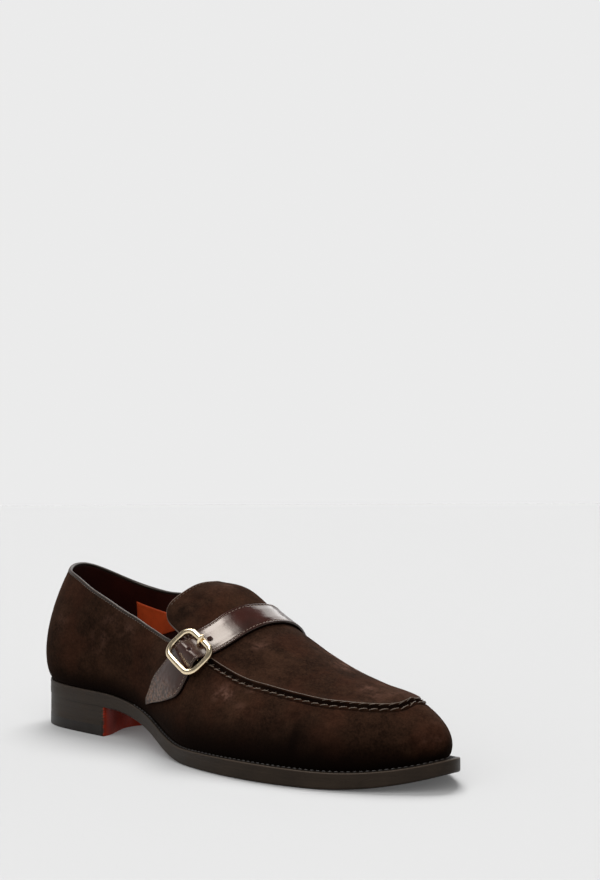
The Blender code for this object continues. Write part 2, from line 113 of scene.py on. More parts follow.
# The collar and then the apron seam, as a share of the way from welt to ridge.
TOPLINE_X, TOPLINE_LAT, TOPLINE_MED = np.array([
    (0, 0.500, 0.500), (12, 0.500, 0.459), (25, 0.492, 0.427), (43, 0.450, 0.386),
    (65, 0.379, 0.338), (77, 0.347, 0.328), (86, 0.332, 0.328), (96, 0.334, 0.332),
    (106, 0.359, 0.350), (120, 0.394, 0.384), (136, 0.405, 0.410), (150, 0.435, 0.438),
    (164, 0.464, 0.466),
    (178, 0.474, 0.475), (190, 0.475, 0.485), (204, 0.484, 0.500), (216, 0.508, 0.520),
    (229, 0.530, 0.540), (243, 0.547, 0.555), (257, 0.553, 0.565), (266, 0.558, 0.575),
    (281, 0.556, 0.580), (290, 0.560, 0.585), (296, 0.577, 0.600), (302, 0.632, 0.630),
    (305, 0.672, 0.672),
]).T

# The free side edge of the tongue, in the same measure.
TONGUE_SIDE_X, TONGUE_SIDE_UP = np.array([
    (118, 0.505), (131, 0.478), (144, 0.462), (155, 0.464), (165, 0.474),
]).T

# The free back edge of the tongue, from its side (0) to the ridge (1), and how
# far it stands off the last there; the lift fades out forwards.
TONGUE_BACK_SHARE, TONGUE_BACK_X, TONGUE_BACK_LIFT = np.array([
    (0, 126.5, -1.0), (0.03, 124.6, 0.2), (0.09, 124.0, 2.0), (0.23, 124.5, 2.4),
    (0.39, 125.6, 1.2), (0.56, 126.8, 0.4), (0.70, 127.6, -0.1), (0.85, 128.2, -0.8),
    (1, 128.5, -1.2),
]).T
TONGUE_LIFT_REACH = 16.0

# The strap's two edges, by where their sections start on the sole. The way runs
# from its point over the ridge (1) and down the inner side (to 2).
STRAP_WAY, STRAP_BACK, STRAP_FRONT = np.array([
    (0.062, 124.5, 125.6), (0.080, 124.5, 130.0), (0.102, 125.9, 135.6), (0.140, 129.2, 146.0),
    (0.172, 131.0, 153.3), (0.205, 133.0, 159.2), (0.270, 139.0, 164.4), (0.330, 143.8, 166.2),
    (0.420, 149.9, 170.2), (0.460, 153.0, 171.9), (0.543, 158.0, 176.6), (0.623, 161.6, 180.2),
    (0.704, 163.1, 182.2), (0.784, 164.4, 183.6), (0.861, 165.7, 184.7), (0.935, 167.2, 185.8),
    (1.0, 168.0, 186.5),
    (1.07, 167.8, 186.3), (1.15, 167.0, 185.4), (1.23, 165.9, 184.1), (1.30, 164.4, 182.5),
    (1.38, 162.3, 180.3), (1.46, 159.8, 177.6), (1.54, 157.0, 174.7), (1.62, 153.6, 171.6),
    (1.70, 149.6, 168.1), (1.78, 145.1, 164.0), (1.86, 140.3, 159.8), (1.92, 136.2, 156.1),
    (1.95, 133.8, 154.0),
]).T

# The strap climbs over the buckle's bar, where it is also narrower and shifted
# forwards: where, how far, over what length.
CLIMB_AT = 0.43
CLIMB_BACK = 4.7
CLIMB_FRONT = 2.9
CLIMB_SPREAD_BELOW = 0.058
CLIMB_SPREAD_ABOVE = 0.036
CLIMB_NARROW = 0.23
CLIMB_SHIFT = 0.065
NARROW_SPREAD_BELOW = 0.08
NARROW_SPREAD_ABOVE = 0.058

BUCKLE_CENTRE = np.array([162.9, -37.7, 56.4])
BUCKLE_FACE = np.array([0.246, -0.781, 0.574])
BUCKLE_UP = np.array([0.389, 0.622, 0.679])
BUCKLE_WIDE = 27.9
BUCKLE_DEEP = 21.1
BUCKLE_CORNER = 7.8
WIRE_WIDE = 3.3
WIRE_HIGH = 2.6
BAR_RADIUS = 0.6
BAR_DROP = 2.3
PRONG_SIDE = 0.8

# The prong, along the strap from the bar and above the frame's middle plane.
PRONG_ALONG, PRONG_HEIGHT, PRONG_RADIUS = np.array([
    (4.4, -2.6, 0.85), (5.2, -1.2, 0.9), (6.2, 0.2, 0.95), (7.3, 1.3, 1.0), (8.4, 2.0, 1.0),
    (9.5, 2.25, 1.0), (10.6, 2.15, 0.95), (11.5, 1.85, 0.85),
]).T


def spline(knots, values, at, period=None):
    """Natural cubic spline through the knots; with a period it closes on itself."""
    knots = np.asarray(knots, float)
    values = np.asarray(values, float)
    at = np.asarray(at, float)
    if period:
        knots = np.concatenate([knots[-5:] - period, knots, knots[:5] + period])
        values = np.concatenate([values[-5:], values, values[:5]])
        at = np.mod(at, period)
    count = len(knots)
    step = np.diff(knots)
    slope = np.diff(values) / step
    matrix = np.eye(count)
    right = np.zeros(count)
    for row in range(1, count - 1):
        matrix[row, row - 1] = step[row - 1]
        matrix[row, row] = 2 * (step[row - 1] + step[row])
        matrix[row, row + 1] = step[row]
        right[row] = 6 * (slope[row] - slope[row - 1])
    bend = np.linalg.solve(matrix, right)
    low = np.clip(np.searchsorted(knots, at) - 1, 0, count - 2)
    past = at - knots[low]
    gap = step[low]
    linear = slope[low] - gap * (2 * bend[low] + bend[low + 1]) / 6
    return (values[low] + past * linear + past ** 2 * bend[low] / 2
            + past ** 3 * (bend[low + 1] - bend[low]) / (6 * gap))


def turn_of(x):
    """The turn round the sole (0 at the heel, 0.5 at the toe) of a lateral x."""
    return np.arccos(np.clip(1 - 2 * np.asarray(x, float) / SOLE_LENGTH, -1, 1)) / (2 * np.pi)


def x_of(turn):
    """Where along the sole a turn lies."""
    return SOLE_LENGTH / 2 * (1 - np.cos(2 * np.pi * np.asarray(turn, float)))


def round_table(x, lateral, medial, turn):
    """Reads a table of both sides at any turn round the sole."""
    knots = turn_of(x)
    inner = (knots > 1e-6) & (knots < 0.5 - 1e-6)
    knots = np.concatenate([knots, 1 - knots[inner][::-1]])
    values = np.concatenate([lateral, medial[inner][::-1]])
    return spline(knots, values, turn, 1.0)


def outline(turn):
    """The edge of the sole in plan."""
    knots = turn_of(OUTLINE_X)
    knots = np.concatenate([[0.0], knots, [0.5], 1 - knots[::-1]])
    values = np.concatenate([[0.0], -LATERAL_HALF, [TIP_Y], MEDIAL_HALF[::-1]])
    return np.stack([x_of(turn), spline(knots, values, turn, 1.0)], -1)


def outward(turn):
    """Unit normal of the edge in plan."""
    run = outline(turn + 1e-4) - outline(turn - 1e-4)
    run /= np.linalg.norm(run, axis=-1, keepdims=True)
    return np.stack([run[..., 1], -run[..., 0]], -1)


def sole_under(x):
    """Height of the underside: heel seat, waist, flat tread, toe spring."""
    x = np.asarray(x, float)
    waist = np.clip((x - WAIST_START) / (TREAD_START - WAIST_START), 0, 1)
    seat = np.clip((WAIST_START - x) / WAIST_START, 0, 1)
    toe = np.clip((x - TREAD_END) / (SOLE_LENGTH - TREAD_END), 0, 1)
    return (HEEL_LIFT * (0.5 + 0.5 * np.cos(np.pi * waist ** WAIST_CURVE))
            + SEAT_RISE * seat ** SEAT_CURVE + TOE_SPRING * toe ** TOE_CURVE)


def welt_top(x):
    """Height of the welt's upper face at the sole's edge."""
    return sole_under(x) + spline(EDGE_X, EDGE_HEIGHT, x)


def last_point(turn, up):
    """The last: from the welt (up 0) a rounded section rises to the ridge (up 1)."""
    turn, up = np.broadcast_arrays(np.asarray(turn, float), np.asarray(up, float))
    edge = outline(turn)
    out = outward(turn)
    full = round_table(SECTION_X, FULL_LAT, FULL_MED, turn)
    bulge = round_table(SECTION_X, BULGE_LAT, BULGE_MED, turn)
    foot = edge - welt_reach(turn)[..., None] * out
    base = welt_top(edge[..., 0])
    ridge_x = spline(RIDGE_FOOT_FROM, RIDGE_FOOT_X, edge[..., 0])
    ridge_y = spline(RIDGE_FOOT_FROM, RIDGE_FOOT_Y, edge[..., 0])
    angle = np.clip(up, 0, 1) * np.pi / 2
    rise = np.sin(angle) ** (2 / full)
    across = 1 - np.clip(np.cos(angle), 0, 1) ** (2 / full)
    swell = bulge * np.sin(np.pi * np.clip(rise, 0, 1) ** BULGE_CURVE)
    plan = foot + (np.stack([ridge_x, ridge_y], -1) - foot) * across[..., None]
    plan = plan + swell[..., None] * out
    top = spline(RIDGE_X, RIDGE_HEIGHT, np.clip(plan[..., 0], 0, SOLE_LENGTH))
    return np.concatenate([plan, (base + (top - base) * rise)[..., None]], -1)


def unit(vectors):
    """The same directions at length 1."""
    return vectors / np.linalg.norm(vectors, axis=-1, keepdims=True)


def last_normal(turn, up):
    """Direction straight out of the last."""
    turn, up = np.broadcast_arrays(np.asarray(turn, float), np.asarray(up, float))
    small = 1e-3
    low = np.clip(up - small, 0, 1)
    high = np.clip(up + small, 0, 1)
    along = last_point(turn + small, up) - last_point(turn - small, up)
    return unit(np.cross(along, last_point(turn, high) - last_point(turn, low)))


def lifted(turn, up, lift):
    """A point of the last moved out along its normal."""
    return last_point(turn, up) + np.asarray(lift, float)[..., None] * last_normal(turn, up)


def topline(turn):
    """How far up its section the collar or the apron seam lies at each turn."""
    return round_table(TOPLINE_X, TOPLINE_LAT, TOPLINE_MED, turn)


def welt_reach(turn):
    """How far in from the sole's edge the upper meets the welt."""
    return round_table(SECTION_X, REACH_LAT, REACH_MED, turn)


# ---------------------------------------------------------------------------
# Working with points
# ---------------------------------------------------------------------------

def smooth(low, high, value):
    """0 below low, 1 above high, an S-curve between them."""
    share = np.clip((np.asarray(value, float) - low) / (high - low), 0, 1)
    return share * share * (3 - 2 * share)


def hump(value, centre, spread):
    """A bell curve of height 1."""
    return np.exp(-((np.asarray(value, float) - centre) / spread) ** 2)


def roll(distance, radius):
    """How far a rounded edge has fallen away at a distance in from it: a quarter circle."""
    short = np.clip(1 - np.asarray(distance, float) / radius, 0, 1)
    return radius * (1 - np.sqrt(1 - short ** 2))


def gap_between(first, second):
    """Distance from each point to the other."""
    return np.linalg.norm(first - second, axis=-1)


def path_length(points):
    """Length along a row of points, from its first point."""
    return np.concatenate([[0.0], np.cumsum(gap_between(points[1:], points[:-1]))])


def at_lengths(points, values, lengths):
    """The values at given distances along a row of points."""
    return np.interp(lengths, path_length(points), values)


def even_steps(points, values, spacing):
    """The values at equal distances along a row of points."""
    total = path_length(points)[-1]
    count = max(int(round(total / spacing)), 2)
    return at_lengths(points, values, np.linspace(0, total, count + 1))


def vectors_at(lengths, length, vectors):
    """Vectors at given distances along a path, from those at the path's own lengths."""
    return np.stack([np.interp(lengths, length, vectors[:, axis]) for axis in range(3)], -1)


def step_up(turn, start, distance):
    """Where the way up the section leads after so many millimetres from the start.

    The length of each section is summed over 240 short chords, and read backwards.
    Each column is moved on by a step of its own, so that one table holds them all.
    """
    steps = np.linspace(0, 1, 241)
    section = last_point(turn[:, None], steps[None])
    chords = gap_between(section[:, 1:], section[:, :-1])
    length = np.concatenate([np.zeros((len(turn), 1)), np.cumsum(chords, 1)], 1)
    column = np.arange(len(turn))[:, None]
    up_step = 2.0 * column
    ups = steps[None] + up_step
    lengths = length + 1000.0 * column
    begun = np.interp(start[:, None] + up_step, ups.ravel(), lengths.ravel())
    reached = np.clip(begun + distance, lengths[:, :1], lengths[:, -1:])
    return np.interp(reached, lengths.ravel(), ups.ravel()) - up_step


def unevenness(points, size, seed):
    """Smooth random numbers from -1 to 1: a lattice of them, blended between."""
    lattice = np.random.default_rng(seed).uniform(-1, 1, (32, 32, 32))
    place = points / size + 100.5
    cell = np.floor(place).astype(int)
    part = place - cell
    part = part * part * (3 - 2 * part)
    total = np.zeros(points.shape[:-1])
    for corner in range(8):
        step = np.array([corner & 1, (corner >> 1) & 1, corner >> 2])
        index = (cell + step) % 32
        weight = np.prod(np.where(step, part, 1 - part), axis=-1)
        total += weight * lattice[index[..., 0], index[..., 1], index[..., 2]]
    return total


def oval(wide, high, sides, power=2.0):
    """A closed section between an ellipse (power 2) and a box (large power)."""
    angle = np.arange(sides) / sides * 2 * np.pi
    cos = np.cos(angle)
    sin = np.sin(angle)
    return np.stack([wide * np.sign(cos) * np.abs(cos) ** (2 / power),
                     high * np.sign(sin) * np.abs(sin) ** (2 / power)], -1)


def sweep(path, first, second, section, scale=1.0):
    """Loops of a section carried along a path; first and second are its axes."""
    scale = np.broadcast_to(scale, len(path))
    across = first[:, None] * section[None, :, :1] + second[:, None] * section[None, :, 1:]
    return path[:, None] + across * scale[:, None, None]


class Skin:
    """The surfaces of one piece, in millimetres. Borders that share points close up."""

    def __init__(self):
        self.points = []
        self.faces = []
        self.kinds = []
        self.marks = []
        self.count = 0

    def cover(self, grid, kind=0, mark=0.0):
        """Adds faces over a grid of points, with the number of their finish and a mark."""
        self.cover_many(np.asarray(grid, float)[None], kind, mark)

    def cover_many(self, grids, kind=0, mark=0.0):
        """Adds many grids of one size at once."""
        index = self.count + np.arange(grids[..., 0].size).reshape(grids.shape[:-1])
        quads = np.stack([index[:, :-1, :-1], index[:, 1:, :-1],
                          index[:, 1:, 1:], index[:, :-1, 1:]], -1).reshape(-1, 4)
        self.points.append(grids.reshape(-1, 3))
        self.faces.append(quads)
        self.kinds.append(np.full(len(quads), kind))
        self.marks.append(np.broadcast_to(mark, grids.shape[:-1]).ravel())
        self.count += index.size

    def tube(self, loops, kind=0, mark=0.0):
        """A skin over closed loops, with a fan over each end."""
        loops = np.concatenate([loops, loops[:, :1]], 1)
        ends = np.repeat(loops[[0, -1], :-1].mean(1, keepdims=True), loops.shape[1], 1)
        self.cover(np.concatenate([ends[:1], loops, ends[1:]]), kind, mark)

    def ring(self, loops, kind=0, mark=0.0):
        """A skin over closed loops that follow each other round."""
        loops = np.concatenate([loops, loops[:, :1]], 1)
        self.cover(np.concatenate([loops, loops[:1]]), kind, mark)

    def threads(self, paths, out, radius, sides=6):
        """One rod per path (a row of points); each narrows to a point at both ends."""
        rings = paths.shape[1]
        share = np.linspace(0, 1, rings)
        thick = radius * np.sqrt(np.clip(1 - (2 * share - 1) ** 6, 0, 1))
        run = np.gradient(paths, axis=1)
        side = unit(np.cross(out[:, None], run))
        top = unit(np.cross(run, side))
        angle = np.linspace(0, 2 * np.pi, sides + 1)
        around = (side[:, :, None] * np.cos(angle)[None, None, :, None]
                  + top[:, :, None] * np.sin(angle)[None, None, :, None])
        self.cover_many(paths[:, :, None] + around * thick[None, :, None, None])


def stitch_paths(starts, ends, out, rise, sink, rings=6):
    """A row of points per stitch: a low arch whose ends dip into the leather."""
    share = np.linspace(0, 1, rings)
    bow = np.sin(np.pi * share)
    height = rise * bow - sink * (1 - bow) ** 3
    return (starts[:, None] + (ends - starts)[:, None] * share[None, :, None]
            + out[:, None] * height[None, :, None])


def make_piece(name, skin, settings, recipes, slot, *stands_for):
    """Makes the mesh, closes its seams, turns its faces out and hands it to the frame."""
    faces = np.concatenate(skin.faces)
    mesh = bpy.data.meshes.new(name)
    mesh.vertices.add(skin.count)
    places = (np.concatenate(skin.points) - CAD_ORIGIN) * 0.001
    mesh.vertices.foreach_set("co", places.ravel())
    mesh.loops.add(faces.size)
    mesh.loops.foreach_set("vertex_index", faces.ravel().astype(np.int32))
    mesh.polygons.add(len(faces))
    mesh.polygons.foreach_set("loop_start", np.arange(0, faces.size, 4, dtype=np.int32))
    mesh.polygons.foreach_set("material_index", np.concatenate(skin.kinds).astype(np.int32))
    marks = mesh.attributes.new("mark", "FLOAT", "POINT")
    marks.data.foreach_set("value", np.concatenate(skin.marks))
    mesh.update(calc_edges=True)
    shell = bmesh.new()
    shell.from_mesh(mesh)
    bmesh.ops.remove_doubles(shell, verts=shell.verts, dist=2e-6)
    bmesh.ops.dissolve_degenerate(shell, edges=shell.edges, dist=1e-7)
    bmesh.ops.recalc_face_normals(shell, faces=shell.faces)
    shell.to_mesh(mesh)
    shell.free()
    mesh.polygons.foreach_set("use_smooth", np.ones(len(mesh.polygons), bool))
    for recipe in recipes:
        mesh.materials.append(finish(recipe, settings))
    piece = bpy.data.objects.new(name, mesh)
    bpy.context.scene.collection.objects.link(piece)
    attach(piece, "root")
    if stands_for:
        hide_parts(*stands_for)
    return piece


# ---------------------------------------------------------------------------
# Finishes
# ---------------------------------------------------------------------------

class Wire:
    """A value on its way through a node tree; sums and products add Math nodes."""

    def __init__(self, nodes, socket):
        self.nodes = nodes
        self.socket = socket

    def maths(self, operation, first, second):
        """The result of a Math node on two values or wires."""
        return self.nodes.add("ShaderNodeMath", {"operation": operation}, {0: first, 1: second})

    def __add__(self, other):
        return self.maths("ADD", self, other)

    __radd__ = __add__

    def __sub__(self, other):
        return self.maths("SUBTRACT", self, other)

    def __rsub__(self, other):
        return self.maths("SUBTRACT", other, self)

    def __mul__(self, other):
        return self.maths("MULTIPLY", self, other)

    __rmul__ = __mul__


class Nodes:
    """Adds nodes to a tree."""

    def __init__(self, tree):
        self.tree = tree

    def add(self, kind, settings=None, inputs=None, output=0):
        """Adds a node: first its settings, then its sockets; returns one of its outputs."""
        node = self.tree.nodes.new(kind)
        for name, value in (settings or {}).items():
            setattr(node, name, value)
        self.plug(node, inputs or {})
        return Wire(self, node.outputs[output])

    def plug(self, node, inputs):
        """Links a socket to each wire, and sets the others to their values."""
        for name, value in inputs.items():
            if isinstance(value, Wire):
                self.tree.links.new(value.socket, node.inputs[name])
            else:
                node.inputs[name].default_value = value

    def place(self):
        """Object coordinates, which are metres in the CAD's frame."""
        return self.add("ShaderNodeTexCoord", output="Object")

    def mark(self):
        """The mark that each point of the piece carries."""
        return self.add("ShaderNodeAttribute", {"attribute_name": "mark"}, output="Fac")

    def stretched(self, scale, turned=(0.0, 0.0, 0.0)):
        """Object coordinates turned and stretched, for a pattern with a direction."""
        return self.add("ShaderNodeMapping", None,
                        {"Vector": self.place(), "Rotation": turned, "Scale": scale})

    def noise(self, scale, detail=2.0, roughness=0.5, place=None):
        """Soft random values of a size: scale is how many fit in a metre."""
        return self.add("ShaderNodeTexNoise", None, {
            "Vector": place or self.place(), "Scale": scale,
            "Detail": detail, "Roughness": roughness})

    def contrast(self, value, low, high, to_low=0.0, to_high=1.0):
        """Spreads the values between low and high over a new range, softly."""
        return self.add("ShaderNodeMapRange", {"interpolation_type": "SMOOTHSTEP"}, {
            "Value": value, "From Min": low, "From Max": high,
            "To Min": to_low, "To Max": to_high})

    def distance(self, value, centre):
        """How far a value is from a centre, either way."""
        return self.add("ShaderNodeMath", {"operation": "ABSOLUTE"}, {0: value - centre})

    def blend(self, share, first, second):
        """One colour into another."""
        mix = {"data_type": "RGBA", "clamp_factor": True}
        return self.add("ShaderNodeMix", mix, {0: share, 6: first, 7: second}, 2)

    def bump(self, height, distance, strength):
        """Tilts the surface's normals as if it rose and fell with the height."""
        inputs = {"Height": height, "Distance": distance, "Strength": strength}
        return self.add("ShaderNodeBump", None, inputs)


def finish(recipe, settings):
    """The material that a recipe is named for, made the first time it is asked for."""
    name = recipe.__name__.replace("_", " ")
    if name in bpy.data.materials:
        return bpy.data.materials[name]
    made = bpy.data.materials.new(name)
    made.use_nodes = True
    nodes = Nodes(made.node_tree)
    shader = made.node_tree.nodes["Principled BSDF"]
    nodes.plug(shader, recipe(nodes, settings))
    return made


def shade(colour, factors):
    """A colour for a socket, times one factor or a factor for each channel."""
    return (*np.minimum(np.array(colour) * factors, 1.0), 1.0)


# The mark of a point runs from -1, dark, through 0, plain, to 1, pale with wear or coated with paint.
# On the suede and on the welt's shelf the dark end is painted shade, and it also darkens the strap's
# edges and underside. The high end is also a painted highlight on the apron's crest and the bindings,
# and on the strap's tail it brings out painted light on the pebbles.
def darkness(nodes, mark):
    """1 where the mark is at its darkest, 0 from plain upwards."""
    return nodes.contrast(mark, -1.0, 0.0, 1.0, 0.0)


# Polished and waxed leather shines a little warmer than the lamps.
WARM_SHINE = (1.0, 0.89, 0.78, 1.0)


def brushed_suede(nodes, settings):
    """Nap that lies in soft patches and strokes, with a few pale scuffs, over a fine grain."""
    base = settings.suede_colour
    patches = nodes.noise(30.0, 3.0, 0.5)
    strokes = nodes.noise(120.0, 3.0, 0.6, nodes.stretched((0.8, 1.2, 1.5), (0.2, 0.5, 0.4)))
    flecks = nodes.noise(520.0, 2.0, 0.6)
    specks = nodes.noise(1050.0, 2.0, 0.6)
    light = (nodes.contrast(patches, 0.34, 0.68) * 0.28 + nodes.contrast(strokes, 0.34, 0.68) * 0.24
             + nodes.contrast(flecks, 0.32, 0.68) * 0.22 + nodes.contrast(specks, 0.3, 0.7) * 0.26)
    plain = nodes.blend(light, shade(base, 0.26), shade(base, 1.85))
    reddish = nodes.contrast(nodes.noise(44.0, 2.0), 0.44, 0.66, 0.0, 0.5)
    warm = nodes.blend(light, shade(base, (1.0, 0.75, 0.7)), shade(base, (2.1, 1.6, 1.5)))
    colour = nodes.blend(reddish, plain, warm)
    veins = nodes.noise(46.0, 3.0, 0.6, nodes.stretched((0.8, 1.5, 1.0), (0.0, 0.4, 0.9)))
    scuffs = (nodes.contrast(nodes.distance(veins, 0.5), 0.0, 0.016, 1.0, 0.0)
              * nodes.contrast(patches, 0.52, 0.66, 0.0, 0.25))
    mark = nodes.mark()
    broken = nodes.contrast(strokes + flecks * 0.6, 0.65, 0.95, 0.3, 1.7)
    # A high mark paints the suede pale: rubbed places, and a painted highlight on the apron's crest.
    rubs_and_highlights = nodes.contrast(mark, 0.0, 1.0) * broken
    scuffed = nodes.blend(scuffs, colour, shade(base, 2.4))
    pale = nodes.blend(rubs_and_highlights, scuffed, shade(base, (4.2, 4.5, 5.6)))
    # A mark below 0 darkens the suede almost to black: painted shade by the welt, in the apron seam
    # and at a few darker places.
    with_painted_shade = nodes.blend(darkness(nodes, mark), pale, shade(base, 0.08))
    nap = nodes.bump(specks + flecks * 0.6 + strokes * 0.5, 0.00025, 0.6)
    return {
        "Base Color": with_painted_shade, "Roughness": 0.95, "Normal": nap, "Specular IOR Level": 0.03,
        "Sheen Weight": settings.suede_sheen, "Sheen Roughness": 0.4,
        "Sheen Tint": (0.75, 0.48, 0.36, 1.0),
    }


def polished_strap_leather(nodes, settings):
    """Smooth brown calf with a waxed face. A low mark dulls it; a high one brings out
    the pebbled grain of the tail, paler with wear, its raised tops painted pale grey as a
    painted reflection and its creases darker as painted shade."""
    base = settings.strap_colour
    clouds = nodes.contrast(nodes.noise(90.0, 3.0), 0.3, 0.7)
    mark = nodes.mark()
    cells = nodes.add("ShaderNodeTexVoronoi", {"feature": "SMOOTH_F1"},
                      {"Vector": nodes.place(), "Scale": 640.0, "Smoothness": 0.3})
    # Painted light on the tail: the raised tops of the pebbles pale grey, as a painted reflection,
    # the creases between them darker, as painted shade.
    wear_and_painted_light = nodes.blend(nodes.contrast(cells, 0.2, 0.62), shade(base, (7.4, 12.5, 12.0)),
                       shade(base, (1.0, 1.6, 1.5)))
    tail = nodes.contrast(mark, 0.3, 1.0)
    smooth_face = nodes.blend(clouds, shade(base, 0.8), shade(base, (1.35, 0.95, 0.95)))
    colour = nodes.blend(tail, smooth_face, wear_and_painted_light)
    colour = nodes.blend(darkness(nodes, mark), colour, shade(base, 0.25))
    grain = nodes.add("ShaderNodeTexVoronoi", {"feature": "F1"},
                      {"Vector": nodes.place(), "Scale": 2600.0})
    height = cells * (tail * -1.0 - 0.12) + grain * 0.08
    polish = nodes.contrast(nodes.noise(240.0, 4.0), 0.3, 0.7, 0.13, 0.18)
    rough = polish + nodes.contrast(mark, 0.0, 0.3) * 0.16 + tail * 0.1
    return {
        "Base Color": colour, "Roughness": rough, "Normal": nodes.bump(height, 0.0002, 0.6),
        "Specular Tint": WARM_SHINE,
    }


def binding_leather(nodes, settings):
    """The thin dull leather that covers the collar; the mark paints a pale highlight along its edge.
    """
    base = settings.binding_colour
    clouds = nodes.contrast(nodes.noise(160.0, 3.0), 0.3, 0.7)
    colour = nodes.blend(clouds, shade(base, 0.8), shade(base, 1.2))
    return {
        "Base Color": nodes.blend(nodes.mark(), colour, shade(base, 14.0)),
        "Roughness": 0.4, "Normal": nodes.bump(nodes.noise(1500.0, 2.0), 0.00008, 0.5),
        "Specular IOR Level": 0.3, "Specular Tint": WARM_SHINE,
    }


def burnished_edge(nodes, settings):
    """Stacked and waxed leather edge: faint level layers under a dull polish."""
    base = settings.edge_colour
    level = nodes.noise(16.0, 2.0, 0.5, nodes.stretched((1.0, 1.0, 38.0)))
    clouds = nodes.noise(70.0, 3.0)
    mix = nodes.contrast(level, 0.35, 0.65) * 0.35 + nodes.contrast(clouds, 0.3, 0.7) * 0.65
    colour = nodes.blend(mix, shade(base, 0.75), shade(base, 1.3))
    mark = nodes.mark()
    wear_and_painted_light = nodes.blend(mark, colour, shade(base, 3.4))
    # A mark below 0 darkens the edge: painted shade on the welt's shelf.
    wear_and_painted_light = nodes.blend(darkness(nodes, mark), wear_and_painted_light, shade(base, 0.15))
    rough = nodes.contrast(clouds, 0.3, 0.7, 0.42, 0.54)
    return {
        "Base Color": wear_and_painted_light, "Roughness": rough, "Specular IOR Level": 0.15,
        "Specular Tint": WARM_SHINE,
        "Normal": nodes.bump(level * 0.5 + nodes.noise(900.0, 2.0) * 0.5, 0.0001, 0.5),
    }


def painted_waist(nodes, settings):
    """The sole's underside: paint over the waist, dark leather under the tread."""
    paint = settings.paint_colour
    base = settings.edge_colour
    clouds = nodes.contrast(nodes.noise(120.0, 4.0, 0.6), 0.3, 0.7)
    coat = nodes.blend(clouds, shade(paint, 0.8), shade(paint, 1.12))
    bare = nodes.blend(clouds, shade(base, 0.8), shade(base, 1.4))
    return {
        "Base Color": nodes.blend(nodes.mark(), bare, coat), "Roughness": 0.42,
        "Specular IOR Level": 0.3,
        "Normal": nodes.bump(nodes.noise(700.0, 3.0), 0.0001, 0.4),
    }


def lining_leather(nodes, settings):
    """Soft smooth lining, a little darker where it is handled."""
    base = settings.lining_colour
    clouds = nodes.contrast(nodes.noise(60.0, 3.0), 0.3, 0.72)
    return {
        "Base Color": nodes.blend(clouds, shade(base, 0.8), shade(base, 1.2)),
        "Roughness": 0.6, "Normal": nodes.bump(nodes.noise(1300.0, 3.0), 0.0001, 0.6),
        "Specular IOR Level": 0.2,
    }


def patch_leather(nodes, settings):
    """Bright smooth leather."""
    base = settings.patch_colour
    clouds = nodes.contrast(nodes.noise(110.0, 3.0), 0.3, 0.7)
    return {
        "Base Color": nodes.blend(clouds, shade(base, 0.85), shade(base, 1.15)),
        "Roughness": 0.5, "Normal": nodes.bump(nodes.noise(1500.0, 2.0), 0.00008, 0.5),
        "Specular IOR Level": 0.25,
    }


def moulded_rubber(nodes, settings):
    """Dark rubber with a fine even grain."""
    base = settings.rubber_colour
    clouds = nodes.contrast(nodes.noise(80.0, 3.0), 0.3, 0.7)
    return {
        "Base Color": nodes.blend(clouds, shade(base, 0.85), shade(base, 1.2)),
        "Roughness": 0.42, "Normal": nodes.bump(nodes.noise(2200.0, 2.0), 0.00008, 0.5),
        "Specular IOR Level": 0.15,
    }


def pale_gold_plate(nodes, settings):
    """Polished plate with the faintest ripple."""
    rough = nodes.contrast(nodes.noise(300.0, 3.0), 0.3, 0.7, 0.1, 0.17)
    return {
        "Base Color": (*settings.gold_colour, 1.0), "Metallic": 1.0, "Roughness": rough,
        "Normal": nodes.bump(nodes.noise(260.0, 1.0), 0.00006, 0.4),
    }


def pale_thread(nodes, settings):
    """The strap's thread, lighter than the rest."""
    return thread_finish(nodes, settings.pale_thread_colour)


def welt_thread(nodes, settings):
    """The welt's thread, dark with wax."""
    return thread_finish(nodes, settings.welt_thread_colour)


def waxed_thread(nodes, settings):
    """The thread of the other seams."""
    return thread_finish(nodes, settings.thread_colour)


def thread_finish(nodes, base):
    """Twisted plies, darker in between."""
    plies = nodes.noise(2600.0, 1.0)
    high = nodes.contrast(plies, 0.3, 0.7)
    return {
        "Base Color": nodes.blend(high, shade(base, 0.7), shade(base, 1.3)),
        "Roughness": 0.5, "Normal": nodes.bump(plies, 0.00012, 0.7),
    }


def dark_hollow(nodes, settings):
    """Raw leather fibres in the shade of a punched hole."""
    base = settings.strap_colour
    fibres = nodes.noise(2400.0, 2.0)
    return {
        "Base Color": nodes.blend(fibres, shade(base, 0.1), shade(base, 0.3)),
        "Roughness": 0.9, "Normal": nodes.bump(fibres, 0.0001, 0.6),
    }


# ---------------------------------------------------------------------------
# The upper
# ---------------------------------------------------------------------------

# Where the collar gives way to the apron seam, and where the row of stitches along
# the apron's own edge starts.
SEAM_FROM = 160.0
SEAM_FULL = 170.0
TOE_ROW_FROM = 252.0

# Thickness of the suede and its lining, and the thin air kept between two pieces.
SUEDE = 0.9
LINING = 0.8
LINING_GAP = 0.06
GAP = 0.3

# Distances from the seam: down to the vamp's rim, up to the apron's crest, and how far
# the apron reaches down over the vamp.
RIM_AT = 1.8
CREST_AT = 1.5
APRON_OVERLAP = 0.35

# Millimetres round the back of the shoe for one whole turn, near its middle.
BACK_TURN = 720.0

# How high painted shade darkens the suede above the welt.
SHADE_X, SHADE_HEIGHT = np.array([(0, 20), (130, 20), (180, 33), (255, 33), (290, 22), (305, 19)]).T


def seam_share(turn):
    """0 along the collar, 1 where the apron seam runs."""
    return smooth(SEAM_FROM, SEAM_FULL, x_of(turn))


